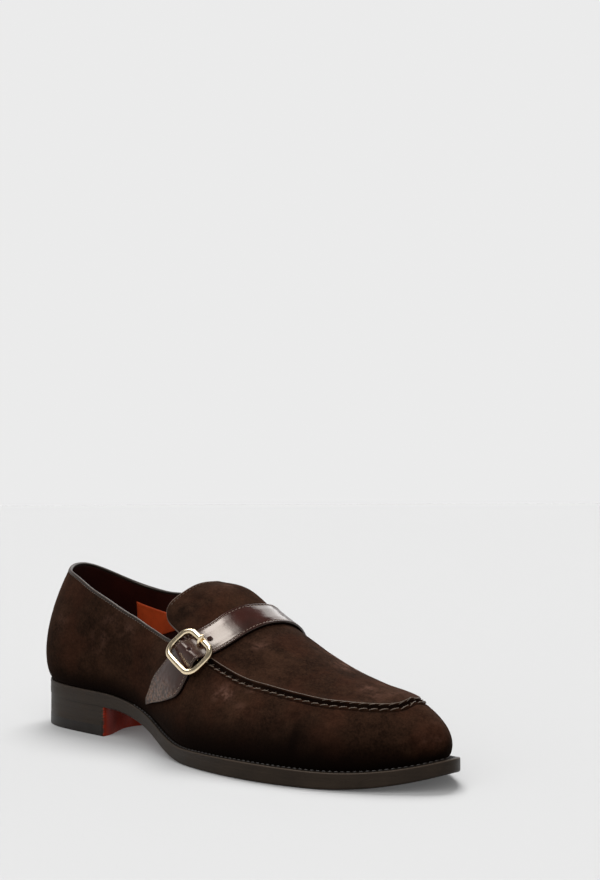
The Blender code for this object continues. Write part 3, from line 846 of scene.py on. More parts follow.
def round_columns(behind, ahead):
    """Turns all the way round the sole, at one spacing behind the seam and one along it."""
    turn = np.linspace(0, 1, 4001)
    edge = outline(turn)
    wanted = np.where(x_of(turn[1:]) > SEAM_FROM, ahead, behind)
    steps = np.concatenate([[0.0], np.cumsum(gap_between(edge[1:], edge[:-1]) / wanted)])
    return np.interp(np.linspace(0, steps[-1], int(round(steps[-1])) + 1), steps, turn)


def seam_lengths(turn):
    """Millimetres along the topline at each turn."""
    fine = np.linspace(0, 1, 3001)
    return np.interp(turn, fine, path_length(last_point(fine, topline(fine))))


def vamp_relief(down, along, settings):
    """Height of the vamp beside the apron seam, by the distance down from it.

    It dips under the apron, rises over the rim that carries the stitches, has a
    crease below the rim, and is drawn into a slanting pocket above every stitch.
    """
    pitch = settings.seam_pitch * 1000
    gather = np.cos(2 * np.pi * (along / pitch - 0.25 * np.abs(down - RIM_AT)))
    dip = -1.3 * (1 - smooth(0.3, 1.5, down)) - 0.25 * smooth(0.2, 2.0, -down)
    pockets = 0.3 * gather * hump(down, 1.0, 0.55)
    rim = settings.rim_height * 1000 * (1 + 0.15 * gather) * hump(down, RIM_AT, 0.55)
    crease = -0.4 * (1 + 0.2 * gather) * hump(down, 2.9, 0.45)
    folds = 0.08 * gather * np.exp(-np.abs(down - RIM_AT) / 2.4)
    return dip + pockets + rim + crease + folds


def apron_relief(above, settings):
    """Height of the apron by the distance above its seam: a turned edge climbs to a
    crest with a fine bead on it, and the surface falls away slowly behind."""
    crest = settings.crest_height * 1000
    climb = smooth(-0.6, CREST_AT, above)
    behind = np.where(above > CREST_AT, hump(above, CREST_AT, 2.6), 1.0)
    return -0.85 * (1 - climb) + crest * climb * behind + 0.22 * hump(above, CREST_AT, 0.28)


def softness(points, seed):
    """The slight unevenness of soft leather over a last."""
    return 0.28 * unevenness(points, 31.0, seed) + 0.09 * unevenness(points, 10.0, seed + 1)


# Rubbed places on the suede: centre, radius and strength, which is below 0 where it is darker.
# The darker places, on the tongue and on the vamp's outer side, are painted shade.
RUBS_AND_SHADE = np.array([
    (299, 1, 25, 6, 0.6), (292, -6, 22, 6, 0.45), (193, -39, 39, 8, 0.38), (206, -39, 36, 9, 0.42),
    (99, -29, 63, 8, 0.26), (83, -30, 69, 7, 0.22), (75, -33, 55, 9, 0.22), (148, -2, 88, 8, 0.36),
    (216, 21, 52, 13, 0.3), (228, 13, 50, 11, 0.32), (36, -33, 61, 8, 0.22), (264, 0, 43, 11, 0.34),
    (192, -12, 62, 8, 0.3), (178, 4, 71, 8, 0.32), (141, -20, 81, 17, -0.4), (242, -33, 29, 14, -0.2),
])


def rubs_and_painted_shade(points):
    """How pale the suede is at each point from rubbing, and below 0 how dark with painted shade,
    broken up by a little unevenness.
    """
    total = np.zeros(points.shape[:-1])
    for x, y, z, radius, strength in RUBS_AND_SHADE:
        total = total + strength * hump(gap_between(points, [x, y, z]), 0, radius)
    return total * np.clip(1 + 1.2 * unevenness(points, 5.0, 31), 0, 2)


def build_vamp_and_quarters(settings):
    """Each column is one closed loop: down the outside, into the welt, up the inside.

    The outside is the last plus the relief beside the seam, a slight softness that
    fades out at both ends, and a crease along the back seam.
    """
    turn = round_columns(1.5, 0.75)
    seam = seam_share(turn)[:, None]
    along = seam_lengths(turn)[:, None]
    down = np.concatenate([[-2.0, -1.2, -0.5, 0.0, 0.4], np.arange(0.65, 3.6, 0.22),
                           np.arange(3.9, 8.5, 0.65)])[None]
    down = np.where(down < 0, down * seam, down * np.ones_like(seam))
    high = step_up(turn, topline(turn), -down)
    low = high[:, -1:] * (1 - np.linspace(0, 1, 55)[None, 1:])
    up = np.concatenate([high, low], 1)
    column = turn[:, None]
    back = np.minimum(column, 1 - column) * BACK_TURN
    lift = np.concatenate([seam * vamp_relief(down, along, settings), np.zeros_like(low)], 1)
    place = last_point(column, up)
    foot = gap_between(place, place[:, -1:])
    head = gap_between(place, place[:, :1])
    soft = softness(place, 3) * smooth(0, 9, foot) * smooth(2, 12, head)
    lift = lift + soft - 0.28 * hump(back, 0, 0.9)
    outer = lifted(column, up, lift)
    outer[:, -1, 2] += 0.1
    tuck = outer[:, -1:] - [0, 0, 1.1]
    inner_up = np.concatenate([up[:, -1:] + 0.004, up[:, -10:4:-6], up[:, :1]], 1)
    inner_down = gap_between(last_point(column, inner_up), place[:, :1])
    inner_lift = -SUEDE - 0.95 * seam * (1 - smooth(2.5, 8, inner_down))
    inner = lifted(column, inner_up, inner_lift)
    loops = np.concatenate([outer, tuck, inner, outer[:, :1]], 1)
    mark = np.zeros(loops.shape[:2])
    # Pale rubbed places on the outside, and darker places of painted shade.
    mark[:, :up.shape[1]] = rubs_and_painted_shade(outer)
    # Painted shade in the apron seam: dark in the groove down to the vamp's rim, clear on the rim,
    # and again in the crease below it.
    groove = settings.painted_seam_shade * (1 - smooth(1.1, 1.8, down))
    groove = groove - 0.1 * hump(down, RIM_AT + 0.3, 0.3)
    under_rim = 0.5 * settings.painted_seam_shade * hump(down, 2.8, 0.5)
    mark[:, :down.shape[1]] -= seam * (groove + under_rim)
    # Painted shade: the suede darkens towards the welt, up to a height that changes along the shoe;
    # the tuck and the inner face are darkened fully.
    shaded = np.interp(x_of(column), SHADE_X, SHADE_HEIGHT)
    mark[:, :up.shape[1]] -= settings.painted_foot_shade * (1 - smooth(-2.0, shaded, foot))
    mark[:, up.shape[1]:] = -settings.painted_foot_shade
    skin = Skin()
    skin.cover(loops, 0, mark)
    return make_piece("vamp_and_quarters", skin, settings, [brushed_suede], "suede", "upper")


def build_upper_lining(settings):
    """A second closed wall inside the first, from the collar down to the insole."""
    turn = round_columns(2.5, 2.5)
    seam = seam_share(turn)[:, None]
    top = step_up(turn, topline(turn), -0.15 - 3.0 * seam)
    share = np.linspace(0, 1, 34)[None]
    up = 0.012 + (top - 0.012) * share
    column = turn[:, None]
    wall = np.full(up.shape, -SUEDE - LINING_GAP)
    outer = lifted(column, up, wall)
    inner = lifted(column, up, wall - LINING + 0.05 * unevenness(outer, 14.0, 9))
    loops = np.concatenate([outer, inner[:, ::-1], outer[:, :1]], 1)
    skin = Skin()
    skin.cover(loops)
    return make_piece("upper_lining", skin, settings, [lining_leather], "lining_leather")


def tongue_edge(turn, side):
    """Where the apron piece begins: the tongue's free side, then just below the seam."""
    free = np.interp(turn, turn_of(TONGUE_SIDE_X), TONGUE_SIDE_UP)
    top = topline(side)
    rate = gap_between(last_point(side, top + 0.02), last_point(side, top)) / 0.02
    sewn = top - APRON_OVERLAP / rate
    return free + (sewn - free) * smooth(160, 167, x_of(turn))


# The net of the apron: its first rows, in millimetres from the back edge, and how
# strongly its columns are packed towards the side.
FIRST_ROWS = np.array([0, 0.12, 0.25, 0.4, 0.55, 0.75, 1, 1.3, 1.6, 2, 2.5, 3, 3.6, 4.3])
COLUMN_PACKING = 2.4


def apron_net(rows, half, settings, layer):
    """One side of the apron and tongue after the other, from free edge to ridge.

    Rows start close together at the tongue's back edge and then run evenly to the
    toe; columns are packed towards the side. layer is how deep the surface lies:
    at 0 it is the face, with its relief and rounded edges, and deeper it is plain.
    """
    share = np.expm1(COLUMN_PACKING * np.linspace(0, 1, half)) / np.expm1(COLUMN_PACKING)
    back_x = np.interp(share, TONGUE_BACK_SHARE, TONGUE_BACK_X)[None]
    stand = spline(TONGUE_BACK_SHARE, TONGUE_BACK_LIFT, share)[None]
    begun = turn_of(back_x + FIRST_ROWS[:, None])
    run = np.linspace(0, 1, rows)[1:, None]
    turn = np.concatenate([begun, begun[-1:] + (0.5 - begun[-1:]) * run])
    past = x_of(turn) - back_x
    sides = []
    for side in (turn, 1 - turn):
        edge = tongue_edge(turn, side)
        up = edge + (1 - edge) * share[None]
        place = last_point(side, up)
        inward = gap_between(place, last_point(side, edge))
        seam = smooth(162, 168, x_of(turn))
        lift = stand * np.exp(-(past / TONGUE_LIFT_REACH) ** 2) - layer
        if layer == 0:
            edges = roll(past, 0.8) + roll(inward, 0.8) * (1 - seam)
            swell = softness(place, 5) * smooth(3, 14, inward) * smooth(2, 10, past)
            lift = lift + seam * apron_relief(inward - APRON_OVERLAP, settings) - edges + swell
        else:
            lift = lift - 0.5 * seam * (1 - smooth(0.5, 3.0, inward))
        sides.append((side, up, lift, inward, seam))
    return sides


def joined_sides(points):
    """Puts the two sides together along the ridge."""
    lateral, medial = points
    ridge = (lateral[:, -1:] + medial[:, -1:]) / 2
    return np.concatenate([lateral[:, :-1], ridge, medial[:, -2::-1]], 1)


def apron_layers(skin, upper, lower, mark=0.0):
    """Closes two layers of the apron into one shell. Its front end is a point already."""
    skin.cover(upper, 0, mark)
    skin.cover(lower)
    skin.cover(np.stack([upper[0], lower[0]]))
    for column in (0, -1):
        skin.cover(np.stack([upper[:, column], lower[:, column]], 1))


def apron_marks(sides, settings):
    """Marks along the seam: a painted highlight on the crest over painted shade in the turned edge.
    """
    marks = []
    for _, _, _, inward, seam in sides:
        above = inward - APRON_OVERLAP
        # A painted highlight on the apron's crest.
        wear_and_painted_light = 0.8 * hump(above, CREST_AT, 0.2)
        # Painted shade inside the apron's turned edge.
        dark = settings.painted_seam_shade * 0.8 * (1 - smooth(0.7, 1.4, above))
        marks.append((wear_and_painted_light - dark) * seam)
    return np.concatenate([marks[0][:, :-1], 0 * marks[0][:, :1], marks[1][:, -2::-1]], 1)


def build_apron_and_tongue(settings):
    """The apron's face over its back, 1 mm deeper, closed round their edges."""
    sides = apron_net(270, 50, settings, 0.0)
    face = joined_sides([lifted(*side[:3]) for side in sides])
    under = apron_net(270, 50, settings, 1.0)
    back = joined_sides([lifted(*side[:3]) for side in under])
    skin = Skin()
    # The marks paint a highlight on the crest and shade in the seam, plus the rubbed and shaded
    # places.
    apron_layers(skin, face, back, apron_marks(sides, settings) + rubs_and_painted_shade(face))
    return make_piece("apron_and_tongue", skin, settings, [brushed_suede], "suede", "apron_tongue")


def build_tongue_lining(settings):
    """The same net again, thinner and coarser, under the suede."""
    layers = []
    for layer in (1.06, 1.9):
        sides = apron_net(90, 26, settings, layer)
        layers.append(joined_sides([lifted(*side[:3]) for side in sides]))
    skin = Skin()
    apron_layers(skin, *layers)
    return make_piece("tongue_lining", skin, settings, [lining_leather], "lining_leather")


def collar_turns(spacing, start=165.0):
    """Turns along the collar, from the outer side round the heel to the inner side."""
    front = float(turn_of(start))
    unrolled = np.linspace(front, -front, 1500)
    turn = unrolled % 1.0
    path = last_point(turn, topline(turn))
    return even_steps(path, unrolled, spacing) % 1.0


def build_collar_binding(settings):
    """A folded strip: a full oval carried along the collar, as thick as the wall."""
    turn = collar_turns(1.6)
    top = topline(turn)
    out = last_normal(turn, top)
    path = last_point(turn, top)
    rise = unit(last_point(turn, top) - last_point(turn, top - 0.01))
    high = settings.binding_width * 1000 / 2
    middle = path - 0.9 * out - (high - 0.5) * rise
    skin = Skin()
    # A painted highlight along the binding's upper outer edge.
    wear_and_painted_light = 0.5 * hump(np.arange(29), 4, 1.1)[None]
    skin.tube(sweep(middle, out, rise, oval(1.15, high, 28, 3.2)), 0, wear_and_painted_light)
    return make_piece("collar_binding", skin, settings, [binding_leather], "strap_leather")


def tongue_rim():
    """Points and outward directions along the tongue's free edge, side to side."""
    side_x = np.linspace(163.0, TONGUE_BACK_X[0] + 1.0, 30)
    side_turn = turn_of(side_x)
    side_up = tongue_edge(side_turn, side_turn)
    side_past = side_x - TONGUE_BACK_X[0]
    side_lift = TONGUE_BACK_LIFT[0] * np.exp(-(side_past / TONGUE_LIFT_REACH) ** 2)
    share = np.linspace(0, 1, 60) ** 1.3
    back_turn = turn_of(np.interp(share, TONGUE_BACK_SHARE, TONGUE_BACK_X))
    back_lift = spline(TONGUE_BACK_SHARE, TONGUE_BACK_LIFT, share)
    edge = tongue_edge(back_turn, back_turn)
    back_up = edge + (1 - edge) * share
    turn = np.concatenate([side_turn, back_turn])
    up = np.concatenate([side_up, back_up])
    lift = np.concatenate([side_lift, back_lift]) - 1.0
    lateral = lifted(turn, up, lift)
    medial = lifted(1 - turn, up, lift)
    points = np.concatenate([lateral, medial[-2::-1]])
    out = np.concatenate([last_normal(turn, up), last_normal(1 - turn, up)[-2::-1]])
    return points, out


def resample(points, out, spacing, rounding=4.0):
    """The same path at equal steps, its corners eased by a moving average."""
    length = path_length(points)
    count = int(round(length[-1] / spacing))
    at = np.linspace(0, length[-1], count + 1)
    width = max(int(rounding / spacing), 1)
    kernel = np.hanning(2 * width + 1)
    kernel /= kernel.sum()
    eased = []
    for values in (points, out):
        even = vectors_at(at, length, values)
        ends = np.concatenate([np.repeat(even[:1], width, 0), even, np.repeat(even[-1:], width, 0)])
        eased.append(np.stack([np.convolve(part, kernel, "valid") for part in ends.T], -1))
    return eased[0], unit(eased[1])


def build_tongue_binding(settings):
    """A fine bead round the tongue's free edge."""
    points, out = resample(*tongue_rim(), 0.8)
    run = unit(np.gradient(points, axis=0))
    skin = Skin()
    # A painted highlight along the top of the bead.
    wear_and_painted_light = 0.6 * hump(np.arange(15), 3.5, 1.3)[None]
    skin.tube(sweep(points, np.cross(run, out), out, oval(0.62, 1.12, 14, 2.4)), 0, wear_and_painted_light)
    return make_piece("tongue_binding", skin, settings, [binding_leather], "strap_leather")


# One stitch: share of its length, distance down from the seam, height over the leather.
LOWER_STITCH = np.array([
    (0.05, 2.3, -0.3), (0.11, 2.24, 0.06), (0.3, 2.1, 0.24), (0.5, 1.95, 0.28),
    (0.72, 1.8, 0.24), (0.89, 1.66, 0.06), (0.95, 1.58, -0.3),
])
CROSS_STITCH = np.array([
    (0.30, 1.9, -0.2), (0.36, 1.6, 0.06), (0.48, 0.9, 0.12), (0.60, 0.2, 0.1), (0.66, -0.1, -0.1),
])
UPPER_STITCH = np.array([
    (0.12, -0.8, -0.25), (0.2, -0.9, 0.08), (0.42, -1.05, 0.2), (0.62, -1.2, 0.2),
    (0.82, -1.35, 0.08), (0.9, -1.4, -0.25),
])


def seam_height(down, settings):
    """Height over the last of the apron, and below its edge of the vamp."""
    vamp = vamp_relief(down, 0.0, settings)
    return np.where(down < 0.3, apron_relief(-down, settings), vamp)


def build_apron_seam(settings):
    """Hand stitches: long ones on the vamp's rim, thinner ones across the groove and,
    round the toe, a row along the apron's edge; and a fine bead on the apron's crest.
    Every stitch leans forwards, towards the toe.
    """
    pitch = settings.seam_pitch * 1000
    start = float(turn_of(SEAM_FULL))
    fine = np.linspace(start, 1 - start, 2400)
    length = path_length(last_point(fine, topline(fine)))
    begun = np.arange(int(length[-1] // pitch)) * pitch
    forward = np.where(np.interp(begun, length, fine) < 0.5, 1.0, -1.0)[:, None]
    skin = Skin()
    thick = settings.seam_thread * 500
    rows = ((LOWER_STITCH, thick, 0), (CROSS_STITCH, 0.6 * thick, 0),
            (UPPER_STITCH, 0.8 * thick, TOE_ROW_FROM))
    for stitch, radius, first_x in rows:
        share, below, height = stitch.T
        at = begun[:, None] + pitch * (0.5 + forward * (share[None] - 0.5))
        turn = np.interp(np.clip(at, 0, length[-1]), length, fine)
        turn = turn[x_of(turn[:, 0]) > first_x]
        flat = turn.ravel()
        down = np.broadcast_to(below, turn.shape)
        up = step_up(flat, topline(flat), -down.reshape(-1, 1))[:, 0].reshape(turn.shape)
        paths = lifted(turn, up, seam_height(down, settings) + height)
        skin.threads(paths, last_normal(turn[:, 2], up[:, 2]), radius)
    turn = fine[::3]
    top = step_up(turn, topline(turn), np.full((len(turn), 1), CREST_AT))[:, 0]
    out = last_normal(turn, top)
    edge = lifted(turn, top, apron_relief(CREST_AT, settings) + 0 * turn)
    across = unit(np.cross(np.gradient(edge, axis=0), out))
    skin.tube(sweep(edge, across, out, oval(0.16, 0.14, 8)))
    return make_piece("apron_seam", skin, settings, [waxed_thread], "suede")


# ---------------------------------------------------------------------------
# The strap and its buckle
# ---------------------------------------------------------------------------

STRAP_THICKNESS = 1.9
HOLES = 3
HOLE_RADIUS = 1.2
HOLE_DEPTH = 0.95

# Where the strap comes out from under the buckle. Up to there its face is less polished.
WINDOW_END = 0.55


def strap_place(way, share, height):
    """A point over the strap's ground: way along it, share across it, height over the last.

    Near the buckle's bar the strap climbs, narrows and shifts by bell curves.
    """
    way, share, height = np.broadcast_arrays(way, share, height)
    back = spline(STRAP_WAY, STRAP_BACK, way)
    front = spline(STRAP_WAY, STRAP_FRONT, way)
    above = way > CLIMB_AT
    climb = hump(way, CLIMB_AT, np.where(above, CLIMB_SPREAD_ABOVE, CLIMB_SPREAD_BELOW))
    tight = hump(way, CLIMB_AT, np.where(above, NARROW_SPREAD_ABOVE, NARROW_SPREAD_BELOW))
    across = 0.5 + CLIMB_SHIFT * tight + share * (1 - CLIMB_NARROW * tight)
    turn = turn_of(back + (front - back) * across)
    turn = np.where(way > 1, 1 - turn, turn)
    up = np.where(way > 1, 2 - way, way)
    rise = climb * (CLIMB_BACK + (CLIMB_FRONT - CLIMB_BACK) * across)
    return lifted(turn, up, height + rise)


def strap_ways(spacing, start=STRAP_WAY[0], end=STRAP_WAY[-1]):
    """Places along the strap's middle at equal distances."""
    way = np.linspace(start, end, 900)
    middle = strap_place(way, 0.0, GAP)
    return even_steps(middle, way, spacing)


def strap_widths(way):
    """The strap's width in millimetres at each place."""
    return gap_between(strap_place(way, -0.5, GAP), strap_place(way, 0.5, GAP))


def strap_top(in_from_edge):
    """Height of the strap's face: a rounded edge, a sewn channel and a slight crown."""
    crown = 0.25 * smooth(1.5, 6.0, in_from_edge)
    channel = 0.08 * hump(in_from_edge, 0.75, 0.35) - 0.18 * hump(in_from_edge, 1.5, 0.36)
    return GAP + STRAP_THICKNESS - roll(in_from_edge, 0.6) + crown + channel


def strap_hole_ways(settings):
    """Where along the strap's middle the holes are, a fixed distance apart."""
    apart = settings.hole_spacing * 1000
    way = strap_ways(0.5, settings.first_hole)
    middle = strap_place(way, 0.0, GAP)
    return at_lengths(middle, way, apart * np.arange(HOLES))


def build_strap(settings):
    """Across each place the profile runs over the face and back along the underside.

    The face is a rounded, channelled and crowned strip, less a cup at each hole, plus
    a slow unevenness and, on the tail, pebbles. Its columns are packed at both edges.
    """
    way = strap_ways(0.55)[:, None]
    wide = strap_widths(way[:, 0])[:, None]
    even = np.linspace(-1, 1, 45)[None]
    face = np.sin(even * np.pi / 2) * 0.42 + even * 0.08
    in_from_edge = (0.5 - np.abs(face)) * wide
    height = strap_top(in_from_edge)
    top = strap_place(way, face, height)
    holes = np.zeros(top.shape[:2])
    for centre in strap_place(strap_hole_ways(settings), 0.0, GAP + STRAP_THICKNESS + 0.25):
        away = gap_between(top, centre)
        holes = np.maximum(holes, 1 - smooth(HOLE_RADIUS / 2, HOLE_RADIUS, away))
    tail = (1 - smooth(0.2, 0.32, way)) * np.ones_like(face)
    pebbles = unevenness(top, 1.5, 21) * 0.28 + unevenness(top, 3.2, 23) * 0.12
    calm = smooth(0.5, 2.0, in_from_edge)
    slow = 0.1 * unevenness(top, 16.0, 22)
    height = height - HOLE_DEPTH * holes + tail * pebbles * calm + slow * calm
    top = strap_place(way, face, height)
    under = strap_place(way, np.linspace(0.5, -0.5, 9)[None] * 0.985, GAP)
    loops = np.concatenate([top, under], 1)
    # The tail's mark brings out its pebbles and the painted light on them; up to the window's end the
    # face is less polished; its edges and underside are darkened.
    wear_and_painted_light = tail * (0.7 + 0.3 * (1 - smooth(0.08, 0.24, way)))
    wear_and_painted_light = np.maximum(wear_and_painted_light, 0.3 * (1 - smooth(WINDOW_END - 0.03, WINDOW_END, way)))
    wear_and_painted_light = wear_and_painted_light - (1 + wear_and_painted_light) * (1 - smooth(0.05, 0.3, in_from_edge))
    mark = np.concatenate([wear_and_painted_light, np.full(under.shape[:2], -1.0)], 1)
    mark = np.concatenate([mark, mark[:, :1]], 1)
    mark = np.concatenate([mark[:1], mark, mark[-1:]])
    skin = Skin()
    skin.tube(loops, 0, mark)
    recipes = [polished_strap_leather]
    return make_piece("strap_leather", skin, settings, recipes, "strap_leather", "strap")


def build_strap_holes(settings):
    """The dark inside of each hole: a shallow closed dish, a profile turned round it."""
    height = GAP + STRAP_THICKNESS - 0.52
    steps = ((0.02, -0.1), (0.5, -0.06), (0.95, 0.1), (1.05, -0.1), (0.75, -0.4), (0.02, -0.4))
    skin = Skin()
    for way in strap_hole_ways(settings):
        centre = strap_place(way, 0.0, height)
        ahead = strap_place(way + 0.004, 0.0, height)
        beside = strap_place(way, 0.04, height)
        first = unit(ahead - centre)
        out = unit(np.cross(beside - centre, ahead - centre))
        out = out * np.sign(out @ last_normal(0.3, 0.7))
        second = np.cross(out, first)
        angle = np.arange(24) / 24 * 2 * np.pi
        circle = np.cos(angle)[:, None] * first + np.sin(angle)[:, None] * second
        skin.tube(np.stack([centre + radius * circle + rise * out for radius, rise in steps]))
    return make_piece("strap_holes", skin, settings, [dark_hollow], "strap_leather")


def row_of_stitches(skin, points, out, pitch, fill, radius, rise=0.16, sink=0.35):
    """Even stitches along a path; fill is the share of the pitch that a stitch covers."""
    length = path_length(points)
    count = int(length[-1] // pitch)
    begin = (np.arange(count) + (1 - fill) / 2) * pitch
    starts = vectors_at(begin, length, points)
    ends = vectors_at(begin + fill * pitch, length, points)
    upright = unit(vectors_at(begin, length, out))
    skin.threads(stitch_paths(starts, ends, upright, rise, sink), upright, radius)


def build_strap_stitching(settings):
    """A row of stitches inside each edge of the strap and round its point."""
    pitch = settings.strap_pitch * 1000
    skin = Skin()
    way = strap_ways(0.5, 0.088, 1.93)
    share = 0.5 - 1.6 / strap_widths(way)
    height = GAP + STRAP_THICKNESS - 0.04
    roughly_out = last_normal(np.where(way > 1, 0.72, 0.28), 0.7)
    for side in (-1.0, 1.0):
        path = strap_place(way, side * share, height)
        beside = strap_place(way, side * share - 0.03, height)
        out = unit(np.cross(beside - path, np.gradient(path, axis=0)))
        out = out * np.sign(np.sum(out * roughly_out, -1))[:, None]
        row_of_stitches(skin, path, out, pitch, 0.74, settings.fine_thread * 500, 0.1, 0.3)
    return make_piece("strap_stitching", skin, settings, [pale_thread], "strap_leather")


def buckle_axes():
    """Across the strap, along it, and out of it, as three unit vectors."""
    face = unit(BUCKLE_FACE)
    up = unit(BUCKLE_UP - face * (BUCKLE_UP @ face))
    side = np.cross(up, face)
    return side * np.sign(side[0]), up, face


def build_buckle_frame(settings):
    """An oval wire round a rectangle with full corners, and a thin bar across it."""
    side, up, face = buckle_axes()
    angle = np.arange(144) / 144 * 2 * np.pi
    half_side = BUCKLE_WIDE / 2 - WIRE_WIDE / 2
    half_up = BUCKLE_DEEP / 2 - WIRE_WIDE / 2
    bend = BUCKLE_CORNER - WIRE_WIDE / 2
    spread = np.clip(4 * np.cos(angle), -1, 1)
    climb = np.clip(4 * np.sin(angle), -1, 1)
    across = (half_side - bend) * spread + bend * np.cos(angle)
    along = (half_up - bend) * climb + bend * np.sin(angle)
    path = BUCKLE_CENTRE + across[:, None] * side + along[:, None] * up
    run = unit(np.roll(path, -1, 0) - np.roll(path, 1, 0))
    out = np.repeat(face[None], len(path), 0)
    wire = oval(WIRE_WIDE / 2, WIRE_HIGH / 2, 20, 2.5)
    skin = Skin()
    skin.ring(sweep(path, np.cross(run, out), out, wire))
    share = np.linspace(-1, 1, 41)
    drop = BAR_DROP * (1 - smooth(0.72, 1.0, np.abs(share)))
    bar = BUCKLE_CENTRE + (share * half_side)[:, None] * side - drop[:, None] * face
    rod = oval(BAR_RADIUS, BAR_RADIUS, 12)
    skin.tube(sweep(bar, np.repeat(up[None], 41, 0), np.repeat(face[None], 41, 0), rod))
    return make_piece("buckle", skin, settings, [pale_gold_plate], "buckle_metal", "buckle_frame")


def build_prong(settings):
    """A rod that rises out of its hole and rests its tip on the frame."""
    side, up, face = buckle_axes()
    along = np.linspace(PRONG_ALONG[0], PRONG_ALONG[-1], 40)
    height = spline(PRONG_ALONG, PRONG_HEIGHT, along)
    radius = spline(PRONG_ALONG, PRONG_RADIUS, along)
    radius = radius * np.sqrt(np.clip((PRONG_ALONG[-1] + 0.02 - along) / 0.8, 0, 1))
    path = (BUCKLE_CENTRE + PRONG_SIDE * side + along[:, None] * up + height[:, None] * face)
    run = unit(np.gradient(path, axis=0))
    first = np.repeat(side[None], len(path), 0)
    skin = Skin()
    skin.tube(sweep(path, first, np.cross(run, first), oval(1.0, 0.85, 16), radius))
    return make_piece("prong", skin, settings, [pale_gold_plate], "buckle_metal", "buckle_prong")


# ---------------------------------------------------------------------------
# The bottom
# ---------------------------------------------------------------------------

WELT_THICKNESS = 3.0
LIFTS = 3

# Layers are kept a hair apart, and the edges at their joints are barely rounded.
SOLE_GAP = 0.004
LIFT_GAP = 0.003
SOLE_SHARP = 0.004
LIFT_SHARP = 0.006
SOLE_ROUNDING = 1.3
TOP_PIECE_SHARP = 0.06
TOP_PIECE_ROUNDING = 0.5

# How far the heel's layers stay in from the edge of the sole.
LIFT_INSET = 0.28
TOP_PIECE_INSET = 0.22

# The paint's border under the waist: how far it curves forwards at the sides, and
# half the width over which it fades.
BORDER_CURVE = 9.0
BORDER_FADE = 1.2

# The net of a layer: its columns from back to front, and its rows across.
SOLE_COLUMNS = 230
HEEL_COLUMNS = 90
SOLE_ROWS = 16
HEEL_ROWS = 25


def layer_edge(turn, inset, low, high, round_low, round_high, rows=6):
    """Side of a layer at each turn: an arc under, a straight wall and an arc over.

    low and high give the layer's two heights at any x.
    """
    quarter = np.linspace(0, np.pi / 2, 6)
    wall = np.linspace(0, 1, rows + 2)[1:-1]
    inward = np.concatenate([round_low * (1 - np.sin(quarter)), 0 * wall,
                             round_high * (1 - np.cos(quarter))])
    climb = np.concatenate([0 * quarter, wall, np.ones(6)])
    extra = np.concatenate([round_low * (1 - np.cos(quarter)),
                            round_low * (1 - wall) - round_high * wall,
                            -round_high * (1 - np.sin(quarter))])
    edge = outline(turn)
    plan = edge[:, None] - (inset + inward)[None, :, None] * outward(turn)[:, None]
    bottom = low(edge[:, 0])[:, None]
    top = high(edge[:, 0])[:, None]
    height = bottom + (top - bottom) * climb[None] + extra[None]
    return np.concatenate([plan, height[..., None]], -1)


def slab(skin, sides, low_kind, rows, low_mark=0.0, hollow=0.0):
    """A layer between its outer and inner side profiles, which both start at the heel.

    hollow is how far its front is arched back in the middle; at 0 it has no front.
    """
    lateral, medial = sides
    share = np.linspace(0, 1, rows)[None]
    reach = np.linspace(0, 1, len(lateral))[:, None] ** 3
    arch = hollow * np.abs(np.sin(np.pi * share)) ** 1.8
    back = np.array([-1.0, 0.0, 0.0])
    skin.cover(lateral)
    skin.cover(medial)
    for row, kind, mark in ((0, low_kind, low_mark), (-1, 0, 0.0)):
        first = lateral[:, row][:, None]
        across_it = (medial[:, row][:, None] - first) * share[..., None]
        skin.cover(first + across_it + (reach * arch)[..., None] * back, kind, mark)
    if hollow:
        first = lateral[-1][:, None]
        across_it = (medial[-1][:, None] - first) * share[..., None]
        skin.cover(first + across_it + arch[..., None] * back, 1, 1.0)


def both_sides(end, count, *edge):
    """Side profiles from the heel to a turn, on the outer side and on the inner side."""
    turn = np.linspace(0, 1, count) ** 1.2 * end
    return layer_edge(turn, *edge), layer_edge(1 - turn, *edge)


def lift_joint(level, gap, x):
    """Height of the joint above so many lifts of the heel, less a gap."""
    share = level / LIFTS
    return TOP_PIECE_HEIGHT + share * (sole_under(x) - TOP_PIECE_HEIGHT) - gap


def under_welt(x):
    """Height of the outsole's upper face."""
    return welt_top(x) - WELT_THICKNESS - SOLE_GAP


# The welt's profile: reaches and millimetres in from the sole's edge, and height.
WELT_PROFILE = np.array([
    (1, 5.0, 0), (1, 2.5, 0), (1, 0.6, -0.5), (1, 0, -0.55), (1, -0.4, -0.25),
    (0.86, 0, -0.08), (0.72, 0, -0.1), (0.6, 0, -0.02), (0.46, 0, 0), (0.34, 0, 0),
    (0, 0.75, 0), (0, 0.42, -0.02), (0, 0.18, -0.12), (0, 0.04, -0.34), (0, 0, -0.62),
    (0, 0, -1.4), (0, 0, -2.6), (0, 0, -2.98), (0, 0, -WELT_THICKNESS),
    (1, 5.0, -WELT_THICKNESS), (1, 5.0, 0),
])


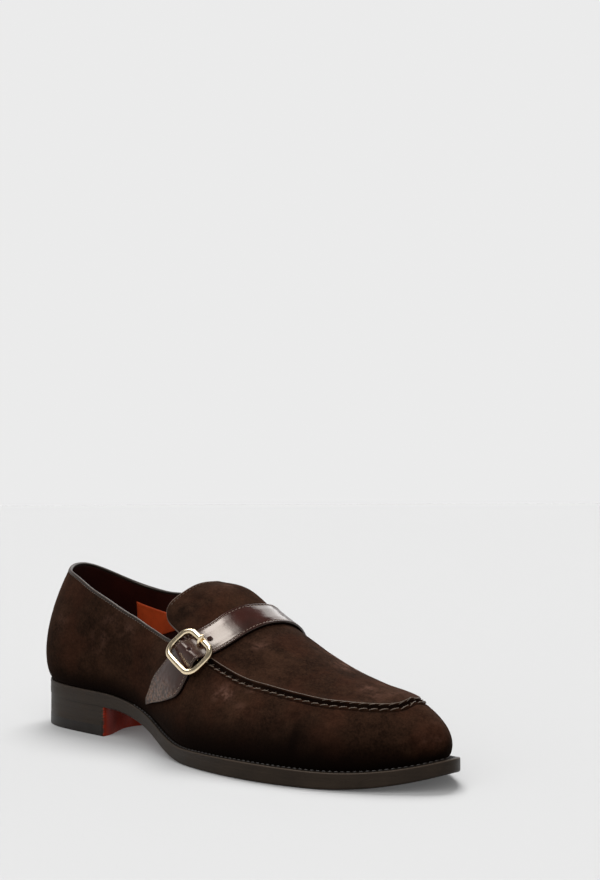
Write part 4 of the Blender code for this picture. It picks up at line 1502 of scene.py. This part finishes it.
def build_welt(settings):
    """A strip round the upper: a flat shelf with a rounded edge and a wheeled groove.

    Its profile starts under the upper, crosses the shelf, turns down over the edge
    and runs back along the underside. Each point is inset from the sole's edge by so
    many reaches of the welt plus so many millimetres.
    """
    turn = round_columns(2.0, 1.5)
    edge = outline(turn)
    out = outward(turn)
    reach = welt_reach(turn)[:, None]
    reaches, more, drop = WELT_PROFILE.T
    inset = reaches * reach + more
    plan = edge[:, None] - inset[..., None] * out[:, None]
    height = welt_top(edge[:, 0])[:, None] + drop[None]
    loops = np.concatenate([plan, height[..., None]], -1)
    mark = np.zeros(loops.shape[:2])
    # The shelf is darkened: painted shade under the overhanging upper.
    mark[:, :10] = -0.85
    mark[:, 11:14] = (0.25 + 0.35 * seam_share(turn))[:, None] * [[0.4, 1.0, 0.5]]
    skin = Skin()
    skin.cover(loops, 0, mark)
    return make_piece("welt", skin, settings, [burnished_edge], "welt_leather", "welt")


def build_welt_stitching(settings):
    """Stitches on the welt's shelf, from the waist round the toe."""
    start = float(turn_of(settings.welt_stitch_start * 1000))
    fine = np.linspace(start, 1 - start, 1600)
    edge = outline(fine)
    plan = edge - (0.52 * welt_reach(fine))[:, None] * outward(fine)
    path = np.concatenate([plan, (welt_top(edge[:, 0]) + 0.02)[:, None]], -1)
    out = np.broadcast_to([0.0, 0.0, 1.0], path.shape)
    skin = Skin()
    row_of_stitches(skin, path, out, settings.welt_pitch * 1000, 0.8, 0.34, 0.12, 0.3)
    return make_piece("welt_stitching", skin, settings, [welt_thread], "welt_leather")


def build_outsole(settings):
    """The sole under the welt, painted beneath the waist up to a curved border.

    Its lower edge is square over the heel and rounded ahead of it.
    """
    layer = (0.5, SOLE_COLUMNS, 0.0, sole_under, under_welt)
    square = both_sides(*layer, SOLE_SHARP, SOLE_SHARP)
    rounded = both_sides(*layer, SOLE_ROUNDING, SOLE_SHARP)
    ahead = smooth(HEEL_LENGTH, HEEL_LENGTH + 15, square[0][..., :1])
    lateral, medial = (first + (second - first) * ahead for first, second in zip(square, rounded))
    share = np.linspace(0, 1, SOLE_ROWS)[None]
    x = lateral[:, 0, 0][:, None] * (1 - share) + medial[:, 0, 0][:, None] * share
    border = settings.paint_end * 1000 + BORDER_CURVE * (2 * share - 1) ** 2
    paint = 1 - smooth(-BORDER_FADE, BORDER_FADE, x - border)
    skin = Skin()
    slab(skin, (lateral, medial), 1, SOLE_ROWS, paint)
    recipes = [burnished_edge, painted_waist]
    return make_piece("outsole", skin, settings, recipes, "sole_leather", "outsole")


def build_heel(settings):
    """Stacked lifts, each with a painted and hollowed front."""
    end = float(turn_of(HEEL_LENGTH))
    skin = Skin()
    for level in range(LIFTS):
        low = partial(lift_joint, level, 0.0)
        high = partial(lift_joint, level + 1, LIFT_GAP)
        sides = both_sides(end, HEEL_COLUMNS, LIFT_INSET, low, high, LIFT_SHARP, LIFT_SHARP, 4)
        slab(skin, sides, 0, HEEL_ROWS, hollow=BREAST_HOLLOW)
    recipes = [burnished_edge, painted_waist]
    return make_piece("heel_lifts", skin, settings, recipes, "heel_leather", "heel_stack")


def build_top_piece(settings):
    """The moulded layer that stands on the floor, a little rounded below."""
    end = float(turn_of(HEEL_LENGTH))
    high = partial(np.full_like, fill_value=TOP_PIECE_HEIGHT)
    skin = Skin()
    sides = both_sides(end, HEEL_COLUMNS, TOP_PIECE_INSET, np.zeros_like, high,
                       TOP_PIECE_ROUNDING, TOP_PIECE_SHARP)
    slab(skin, sides, 0, HEEL_ROWS, hollow=BREAST_HOLLOW)
    recipes = [moulded_rubber, painted_waist]
    return make_piece("heel_top", skin, settings, recipes, "heel_rubber", "heel_top_piece")


# ---------------------------------------------------------------------------
# The inside
# ---------------------------------------------------------------------------

# The footbed: how far it stays in from the foot of the upper, its heights over the
# welt, and how deep its top is dished.
FOOTBED_INSET = 3.0
FOOTBED_LOW = 0.6
FOOTBED_HIGH = 3.0
FOOTBED_DISH = 0.9

# The patch on the inner wall: its ends along the sole and its height in millimetres,
# then its edges as shares of the way up, the upper one measured from the collar.
PATCH_START = 24.0
PATCH_END = 66.0
PATCH_TALL = 18.0
PATCH_FOOT = 0.19
PATCH_BELOW_TOP = 0.085


def build_insole(settings):
    """A covered footbed: a dished top over a lower face, with upright edges."""
    turn = np.linspace(0, 0.5, 120)
    lateral, medial = (
        outline(half) - (welt_reach(half) + FOOTBED_INSET)[:, None] * outward(half)
        for half in (turn, 1 - turn))
    share = np.linspace(0, 1, 30)[None]
    plan = lateral[:, None] + (medial - lateral)[:, None] * share[..., None]
    base = welt_top(x_of(turn)[:, None])
    dish = FOOTBED_DISH * np.sin(np.pi * share) ** 0.8
    low = np.concatenate([plan, (base + FOOTBED_LOW - 0 * dish)[..., None]], -1)
    high = np.concatenate([plan, (base + FOOTBED_HIGH - dish)[..., None]], -1)
    skin = Skin()
    skin.cover(low)
    skin.cover(high)
    skin.cover(np.stack([low[:, 0], high[:, 0]], 1))
    skin.cover(np.stack([low[:, -1], high[:, -1]], 1))
    return make_piece("sock_lining", skin, settings, [lining_leather], "lining_leather", "insole")


def build_patch(settings):
    """A plain thin patch that lies flat against the lining of the inner wall."""
    x = np.linspace(PATCH_START, PATCH_END, 60)[:, None]
    side = 1 - turn_of(x)
    top = topline(side) - PATCH_BELOW_TOP
    share = np.linspace(0, 1, 30)[None]
    up = top + (PATCH_FOOT - top) * share
    from_end = np.minimum(x - PATCH_START, PATCH_END - x)
    edge = np.minimum(from_end, np.minimum(share, 1 - share) * PATCH_TALL)
    inner = -SUEDE - LINING_GAP - LINING
    face = lifted(side, up, inner - 0.35 + roll(edge, 0.3))
    back = lifted(side, up, np.full(up.shape, inner + 0.3))
    skin = Skin()
    skin.cover(face)
    skin.cover(back)
    for row in (0, -1):
        skin.cover(np.stack([face[row], back[row]]))
    for column in (0, -1):
        skin.cover(np.stack([face[:, column], back[:, column]], 1))
    return make_piece("lining_patch", skin, settings, [patch_leather], "lining_leather")


def build_fine_stitching(settings):
    """Rows of small stitches: below the collar, inside the tongue's edge, up the back."""
    radius = settings.fine_thread * 500
    pitch = settings.collar_pitch * 1000
    skin = Skin()
    turn = collar_turns(1.2)
    top = topline(turn)
    width = settings.binding_width * 1000
    up = step_up(turn, top, np.full((len(turn), 1), 0.4 - width))[:, 0]
    path = lifted(turn, up, np.full(len(turn), 0.05))
    row_of_stitches(skin, path, last_normal(turn, up), pitch, 0.72, radius, 0.12, 0.3)
    points, out = resample(*tongue_rim(), 0.8)
    run = unit(np.gradient(points, axis=0))
    inward = np.cross(out, run)
    towards_middle = points.mean(0) + [30.0, 0, 0] - points
    inward = inward * np.sign(np.sum(inward * towards_middle, -1))[:, None]
    inner = points + 1.9 * inward + 1.0 * out
    row_of_stitches(skin, inner[14:-14], out[14:-14], pitch, 0.72, radius, 0.14, 0.3)
    for side in (1.6, -1.6):
        up = np.linspace(0.06, float(topline(0.0)) - 0.07, 60)
        around = np.full(60, side / BACK_TURN % 1.0)
        path = lifted(around, up, np.zeros(60))
        row_of_stitches(skin, path, last_normal(around, up), pitch, 0.72, radius, 0.12, 0.3)
    return make_piece("fine_stitching", skin, settings, [waxed_thread], "suede")


# The bar of thread on the back seam: its threads, half its width, and how far below
# the collar its upper edge, its middle and its lower edge lie.
TACK_THREADS = 17
TACK_HALF = 3.2
TACK_TOP = 4.6
TACK_MIDDLE = 6.0
TACK_FOOT = 7.4


def build_back_tack(settings):
    """A close bar of thread across the top of the back seam."""
    across = np.linspace(-TACK_HALF, TACK_HALF, TACK_THREADS)
    turn = across / BACK_TURN % 1.0
    top = float(topline(0.0))
    rate = gap_between(last_point(0.0, top), last_point(0.0, top - 0.02)) / 0.02
    low = lifted(turn, top - TACK_FOOT / rate, 0 * turn)
    high = lifted(turn, top - TACK_TOP / rate, 0 * turn)
    out = last_normal(turn, top - TACK_MIDDLE / rate)
    skin = Skin()
    skin.threads(stitch_paths(low, high, out, 0.3, 0.2), out, 0.24)
    return make_piece("back_tack", skin, settings, [waxed_thread], "suede")


# ---------------------------------------------------------------------------
# Floor, light and camera
# ---------------------------------------------------------------------------

CAMERA_PLACE = np.array([671.66, -452.18, 134.44])
CAMERA_TURN = math.radians(45.68)
CAMERA_PITCH = math.radians(-2.91)
CAMERA_ROLL = math.radians(-0.23)
CAMERA_LENS = 50.376
CAMERA_SENSOR = 36.0

# The floor, in metres: the rings of its net, and how far it lies under the sole.
FLOOR_RINGS = (0.0, 0.6, 2.0, 8.0, 40.0, 120.0)
FLOOR_DROP = 5e-5


def matt_floor(nodes, settings):
    """Matt, with a glow of its own, so that the shadow under the shoe is soft."""
    tone = settings.floor_tone
    return {
        "Base Color": (tone, tone, tone, 1.0), "Roughness": 1.0, "Specular IOR Level": 0.0,
        "Emission Color": (1.0, 1.0, 1.0, 1.0), "Emission Strength": settings.floor_glow,
    }


def build_floor(settings):
    """A wide flat disc just under the shoe: rings of points round the origin."""
    radius = np.array(FLOOR_RINGS)[:, None]
    angle = np.linspace(0, 2 * np.pi, 65)[None]
    level = 0 * radius * angle - FLOOR_DROP
    grid = np.stack([radius * np.cos(angle), radius * np.sin(angle), level], -1)
    mesh = bpy.data.meshes.new("floor")
    index = np.arange(grid[..., 0].size).reshape(grid.shape[:2])
    quads = np.stack([index[:-1, :-1], index[1:, :-1], index[1:, 1:], index[:-1, 1:]], -1)
    mesh.from_pydata(grid.reshape(-1, 3).tolist(), [], quads.reshape(-1, 4).tolist())
    shell = bmesh.new()
    shell.from_mesh(mesh)
    bmesh.ops.remove_doubles(shell, verts=shell.verts, dist=1e-5)
    shell.to_mesh(mesh)
    shell.free()
    mesh.materials.append(finish(matt_floor, settings))
    floor = bpy.data.objects.new("floor", mesh)
    floor.visible_diffuse = False
    bpy.context.scene.collection.objects.link(floor)
    return floor


def direction(turned, raised):
    """A unit vector from compass turn and height in degrees."""
    turned = math.radians(turned)
    raised = math.radians(raised)
    flat = math.cos(raised)
    return Vector((flat * math.cos(turned), flat * math.sin(turned), math.sin(raised)))


# The lamps: name, turn and height in degrees, degrees across, brightness of the
# face, and whether each lights shine and matt surfaces.
LAMPS = (
    ("window", -142, 68, 21, 10.5, True, False),
    ("window frame", -142, 68, 34, 3.4, True, False),
    ("far window", 118, 36, 32, 3.0, True, False),
    ("overhead", 135, 64, 34, 14.0, False, True),
    ("front", -62, 42, 80, 1.6, False, True),
)


def add_lamp(name, turned, raised, width, brightness, glossy, diffuse):
    """A far round lamp; brightness is that of its face, width its angle across."""
    lamp = bpy.data.lights.new(name, "SUN")
    half = math.radians(width) / 2
    lamp.angle = 2 * half
    lamp.energy = brightness * math.pi * math.sin(half) ** 2
    made = bpy.data.objects.new(name, lamp)
    made.rotation_euler = direction(turned, raised).to_track_quat("Z", "Y").to_euler()
    made.visible_glossy = glossy
    made.visible_diffuse = diffuse
    bpy.context.scene.collection.objects.link(made)
    return made


def light_world(settings):
    """A pale even backdrop to the eye; for light, bright low down and dim overhead."""
    world = bpy.data.worlds.new("studio")
    world.use_nodes = True
    tree = world.node_tree
    tree.nodes.clear()
    nodes = Nodes(tree)
    where = nodes.add("ShaderNodeTexCoord", output="Generated")
    height = nodes.add("ShaderNodeSeparateXYZ", None, {"Vector": where}, "Z")
    low = settings.horizon_light
    high = settings.ceiling_light
    sky = nodes.contrast(height, 0.3, 0.62, low, high)
    ground = nodes.contrast(height, -0.12, 0.03, 1.0, 0.0)
    level = ground * settings.bounce_light + (1 - ground) * sky
    seen = settings.floor_brightness
    camera = nodes.add("ShaderNodeLightPath", output="Is Camera Ray")
    strength = camera * seen + (1 - camera) * level
    glow = tree.nodes.new("ShaderNodeBackground")
    nodes.plug(glow, {"Color": (1.0, 1.0, 1.0, 1.0), "Strength": strength})
    out = tree.nodes.new("ShaderNodeOutputWorld")
    tree.links.new(glow.outputs[0], out.inputs[0])
    bpy.context.scene.world = world


def add_camera():
    """A 50 mm lens, level with the ankle, looking across the toe from the outer side."""
    turn = CAMERA_TURN
    pitch = CAMERA_PITCH
    level = np.array([math.cos(turn), math.sin(turn), 0.0])
    ahead = np.array([-math.sin(turn) * math.cos(pitch), math.cos(turn) * math.cos(pitch),
                      -math.sin(pitch)])
    above = np.cross(level, ahead)
    right = level * math.cos(CAMERA_ROLL) + above * math.sin(CAMERA_ROLL)
    up = above * math.cos(CAMERA_ROLL) - level * math.sin(CAMERA_ROLL)
    lens = bpy.data.cameras.new("camera")
    lens.lens = CAMERA_LENS
    lens.sensor_width = CAMERA_SENSOR
    lens.clip_end = 100.0
    camera = bpy.data.objects.new("camera", lens)
    pose = Matrix(np.stack([right, up, -ahead], 1).tolist()).to_4x4()
    pose.translation = Vector(((CAMERA_PLACE - CAD_ORIGIN) * 0.001).tolist())
    camera.matrix_world = pose
    bpy.context.scene.collection.objects.link(camera)
    bpy.context.scene.camera = camera
    return camera


# ---------------------------------------------------------------------------
# The add-on: settings, one operator for each group of pieces, and a panel
# ---------------------------------------------------------------------------

def colour_setting(name, description, default):
    """A linear colour."""
    return FloatVectorProperty(name=name, description=description, default=default,
                               size=3, subtype="COLOR", min=0.0, max=1.0)


def length_setting(name, description, default):
    """A length shown in scene units; the default is in metres."""
    return FloatProperty(name=name, description=description, default=default,
                         min=0.0, unit="LENGTH", precision=5)


class LoaferSettings(bpy.types.PropertyGroup):
    """The sizes, colours and lights that a user may change."""

    suede_colour: colour_setting("Suede", "Colour of the brushed suede", (0.0214, 0.0100, 0.0057))
    suede_sheen: FloatProperty(name="Suede sheen", description="How strongly the nap catches light",
                               default=0.03, min=0.0, max=1.0, subtype="FACTOR")
    strap_colour: colour_setting("Strap", "Colour of the strap's leather", (0.023, 0.0072, 0.0048))
    binding_colour: colour_setting("Binding", "Colour of the collar's binding",
                                   (0.0095, 0.0055, 0.0039))
    edge_colour: colour_setting("Edges", "Colour of welt, sole edge and heel",
                                (0.0202, 0.0143, 0.0103))
    paint_colour: colour_setting("Paint", "Colour painted under the waist", (0.30, 0.019, 0.0025))
    # Darker than the lining's own brick red: painted shade for the inside of the shoe.
    lining_colour: colour_setting("Lining", "Colour of the lining leather", (0.019, 0.0032, 0.0017))
    patch_colour: colour_setting("Patch", "Colour of the patch in the lining",
                                 (0.42, 0.055, 0.013))
    rubber_colour: colour_setting("Heel rubber", "Colour of the heel's top piece",
                                  (0.014, 0.011, 0.009))
    gold_colour: colour_setting("Buckle", "Colour of the buckle's plate", (0.97, 0.80, 0.54))
    thread_colour: colour_setting("Thread", "Colour of the seams' thread", (0.105, 0.076, 0.054))
    welt_thread_colour: colour_setting("Welt thread", "Colour of the welt's thread",
                                       (0.014, 0.010, 0.008))
    pale_thread_colour: colour_setting("Pale thread", "Colour of the strap's thread",
                                       (0.26, 0.20, 0.15))
    # Painted shade in the apron's seam.
    painted_seam_shade: FloatProperty(name="Dark groove", description="How dark the apron's seam is inside",
                               default=0.95, min=0.0, max=1.0, subtype="FACTOR")
    # Painted shade on the suede low by the welt.
    painted_foot_shade: FloatProperty(name="Dark foot", description="How dark the suede is by the welt",
                             default=0.95, min=0.0, max=1.0, subtype="FACTOR")
    seam_pitch: length_setting("Seam pitch", "Length of one hand stitch of the apron", 0.0049)
    seam_thread: length_setting("Seam thread", "Thickness of the apron's thread", 0.00042)
    rim_height: length_setting("Rim height", "How far the vamp's rim stands up", 0.00045)
    crest_height: length_setting("Crest height", "How far the apron's crest stands up", 0.0009)
    fine_thread: length_setting("Fine thread", "Thickness of machine thread", 0.0003)
    strap_pitch: length_setting("Strap pitch", "Length of one stitch of the strap", 0.0022)
    collar_pitch: length_setting("Collar pitch", "Length of one stitch of the collar", 0.0022)
    welt_pitch: length_setting("Welt pitch", "Length of one stitch of the welt", 0.003)
    welt_stitch_start: length_setting("Welt stitches", "Where the welt's stitches start", 0.105)
    binding_width: length_setting("Binding width", "Width of the collar's binding", 0.0017)
    hole_spacing: length_setting("Hole spacing", "Distance between the strap's holes", 0.0060)
    first_hole: FloatProperty(name="First hole",
                              description="Where along the strap the first hole is",
                              default=0.441, min=0.2, max=0.8, subtype="FACTOR")
    paint_end: length_setting("Paint end", "How far forward the paint reaches", 0.152)
    floor_tone: FloatProperty(name="Floor tone", description="How much light the floor returns",
                              default=0.42, min=0.0, max=1.0, subtype="FACTOR")
    floor_glow: FloatProperty(name="Floor glow", description="Light that the floor gives itself",
                              default=0.07, min=0.0)
    floor_brightness: FloatProperty(name="Backdrop", description="Brightness behind the floor",
                                    default=0.832, min=0.0)
    bounce_light: FloatProperty(name="Bounced light", description="Light from below",
                                default=0.06, min=0.0)
    horizon_light: FloatProperty(name="Low light", description="Light from all round",
                                 default=0.68, min=0.0)
    ceiling_light: FloatProperty(name="High light", description="Light from above",
                                 default=0.15, min=0.0)


class LOAFER_OT_upper(bpy.types.Operator):
    """Builds the vamp and quarters and their lining."""

    bl_idname = "loafer.upper"
    bl_label = "Upper"
    bl_options = {"REGISTER", "UNDO"}

    def execute(self, context):
        settings = context.scene.loafer
        build_vamp_and_quarters(settings)
        build_upper_lining(settings)
        return {"FINISHED"}


class LOAFER_OT_apron(bpy.types.Operator):
    """Builds the apron with its tongue, and the tongue's lining."""

    bl_idname = "loafer.apron"
    bl_label = "Apron and Tongue"
    bl_options = {"REGISTER", "UNDO"}

    def execute(self, context):
        settings = context.scene.loafer
        build_apron_and_tongue(settings)
        build_tongue_lining(settings)
        return {"FINISHED"}


class LOAFER_OT_bindings(bpy.types.Operator):
    """Builds the bindings of the collar and of the tongue's edge."""

    bl_idname = "loafer.bindings"
    bl_label = "Bindings"
    bl_options = {"REGISTER", "UNDO"}

    def execute(self, context):
        settings = context.scene.loafer
        build_collar_binding(settings)
        build_tongue_binding(settings)
        return {"FINISHED"}


class LOAFER_OT_threads(bpy.types.Operator):
    """Builds the apron's hand stitches and the rows of machine stitches."""

    bl_idname = "loafer.threads"
    bl_label = "Threads"
    bl_options = {"REGISTER", "UNDO"}

    def execute(self, context):
        settings = context.scene.loafer
        build_apron_seam(settings)
        build_fine_stitching(settings)
        build_back_tack(settings)
        return {"FINISHED"}


class LOAFER_OT_strap(bpy.types.Operator):
    """Builds the strap with its holes and stitches."""

    bl_idname = "loafer.strap"
    bl_label = "Strap"
    bl_options = {"REGISTER", "UNDO"}

    def execute(self, context):
        settings = context.scene.loafer
        build_strap(settings)
        build_strap_holes(settings)
        build_strap_stitching(settings)
        return {"FINISHED"}


class LOAFER_OT_buckle(bpy.types.Operator):
    """Builds the buckle's frame, bar and prong."""

    bl_idname = "loafer.buckle"
    bl_label = "Buckle"
    bl_options = {"REGISTER", "UNDO"}

    def execute(self, context):
        settings = context.scene.loafer
        build_buckle_frame(settings)
        build_prong(settings)
        return {"FINISHED"}


class LOAFER_OT_sole(bpy.types.Operator):
    """Builds the welt with its stitches, the outsole and the heel."""

    bl_idname = "loafer.sole"
    bl_label = "Sole and Heel"
    bl_options = {"REGISTER", "UNDO"}

    def execute(self, context):
        settings = context.scene.loafer
        build_welt(settings)
        build_welt_stitching(settings)
        build_outsole(settings)
        build_heel(settings)
        build_top_piece(settings)
        return {"FINISHED"}


class LOAFER_OT_inside(bpy.types.Operator):
    """Builds the footbed and the patch on the inner wall."""

    bl_idname = "loafer.inside"
    bl_label = "Inside"
    bl_options = {"REGISTER", "UNDO"}

    def execute(self, context):
        settings = context.scene.loafer
        build_insole(settings)
        build_patch(settings)
        return {"FINISHED"}


class LOAFER_OT_stage(bpy.types.Operator):
    """Sets the floor, the lamps, the backdrop and the camera."""

    bl_idname = "loafer.stage"
    bl_label = "Stage"
    bl_options = {"REGISTER", "UNDO"}

    def execute(self, context):
        settings = context.scene.loafer
        build_floor(settings)
        light_world(settings)
        for lamp in LAMPS:
            add_lamp(*lamp)
        add_camera()
        context.scene.view_settings.view_transform = "Standard"
        return {"FINISHED"}


OPERATORS = (
    LOAFER_OT_upper, LOAFER_OT_apron, LOAFER_OT_bindings, LOAFER_OT_threads, LOAFER_OT_strap,
    LOAFER_OT_buckle, LOAFER_OT_sole, LOAFER_OT_inside, LOAFER_OT_stage,
)


class LOAFER_PT_panel(bpy.types.Panel):
    """Lists the settings and the operators."""

    bl_idname = "LOAFER_PT_panel"
    bl_label = "Buckled Loafer"
    bl_space_type = "VIEW_3D"
    bl_region_type = "UI"
    bl_category = "Loafer"

    def draw(self, context):
        """One row for each setting, then one button for each operator."""
        settings = context.scene.loafer
        column = self.layout.column(align=True)
        for name in LoaferSettings.__annotations__:
            column.prop(settings, name)
        for operator in OPERATORS:
            column.operator(operator.bl_idname)


CLASSES = (LoaferSettings, *OPERATORS, LOAFER_PT_panel)


def register():
    """Adds the classes, and the settings to every scene."""
    for made in CLASSES:
        bpy.utils.register_class(made)
    bpy.types.Scene.loafer = PointerProperty(type=LoaferSettings)


def unregister():
    """Takes away what register adds."""
    del bpy.types.Scene.loafer
    for made in reversed(CLASSES):
        bpy.utils.unregister_class(made)


def main():
    """Builds the shoe and its stage."""
    register()
    for operator in OPERATORS:
        getattr(bpy.ops.loafer, operator.bl_idname.split(".")[1])()


if __name__ == "__main__":
    main()
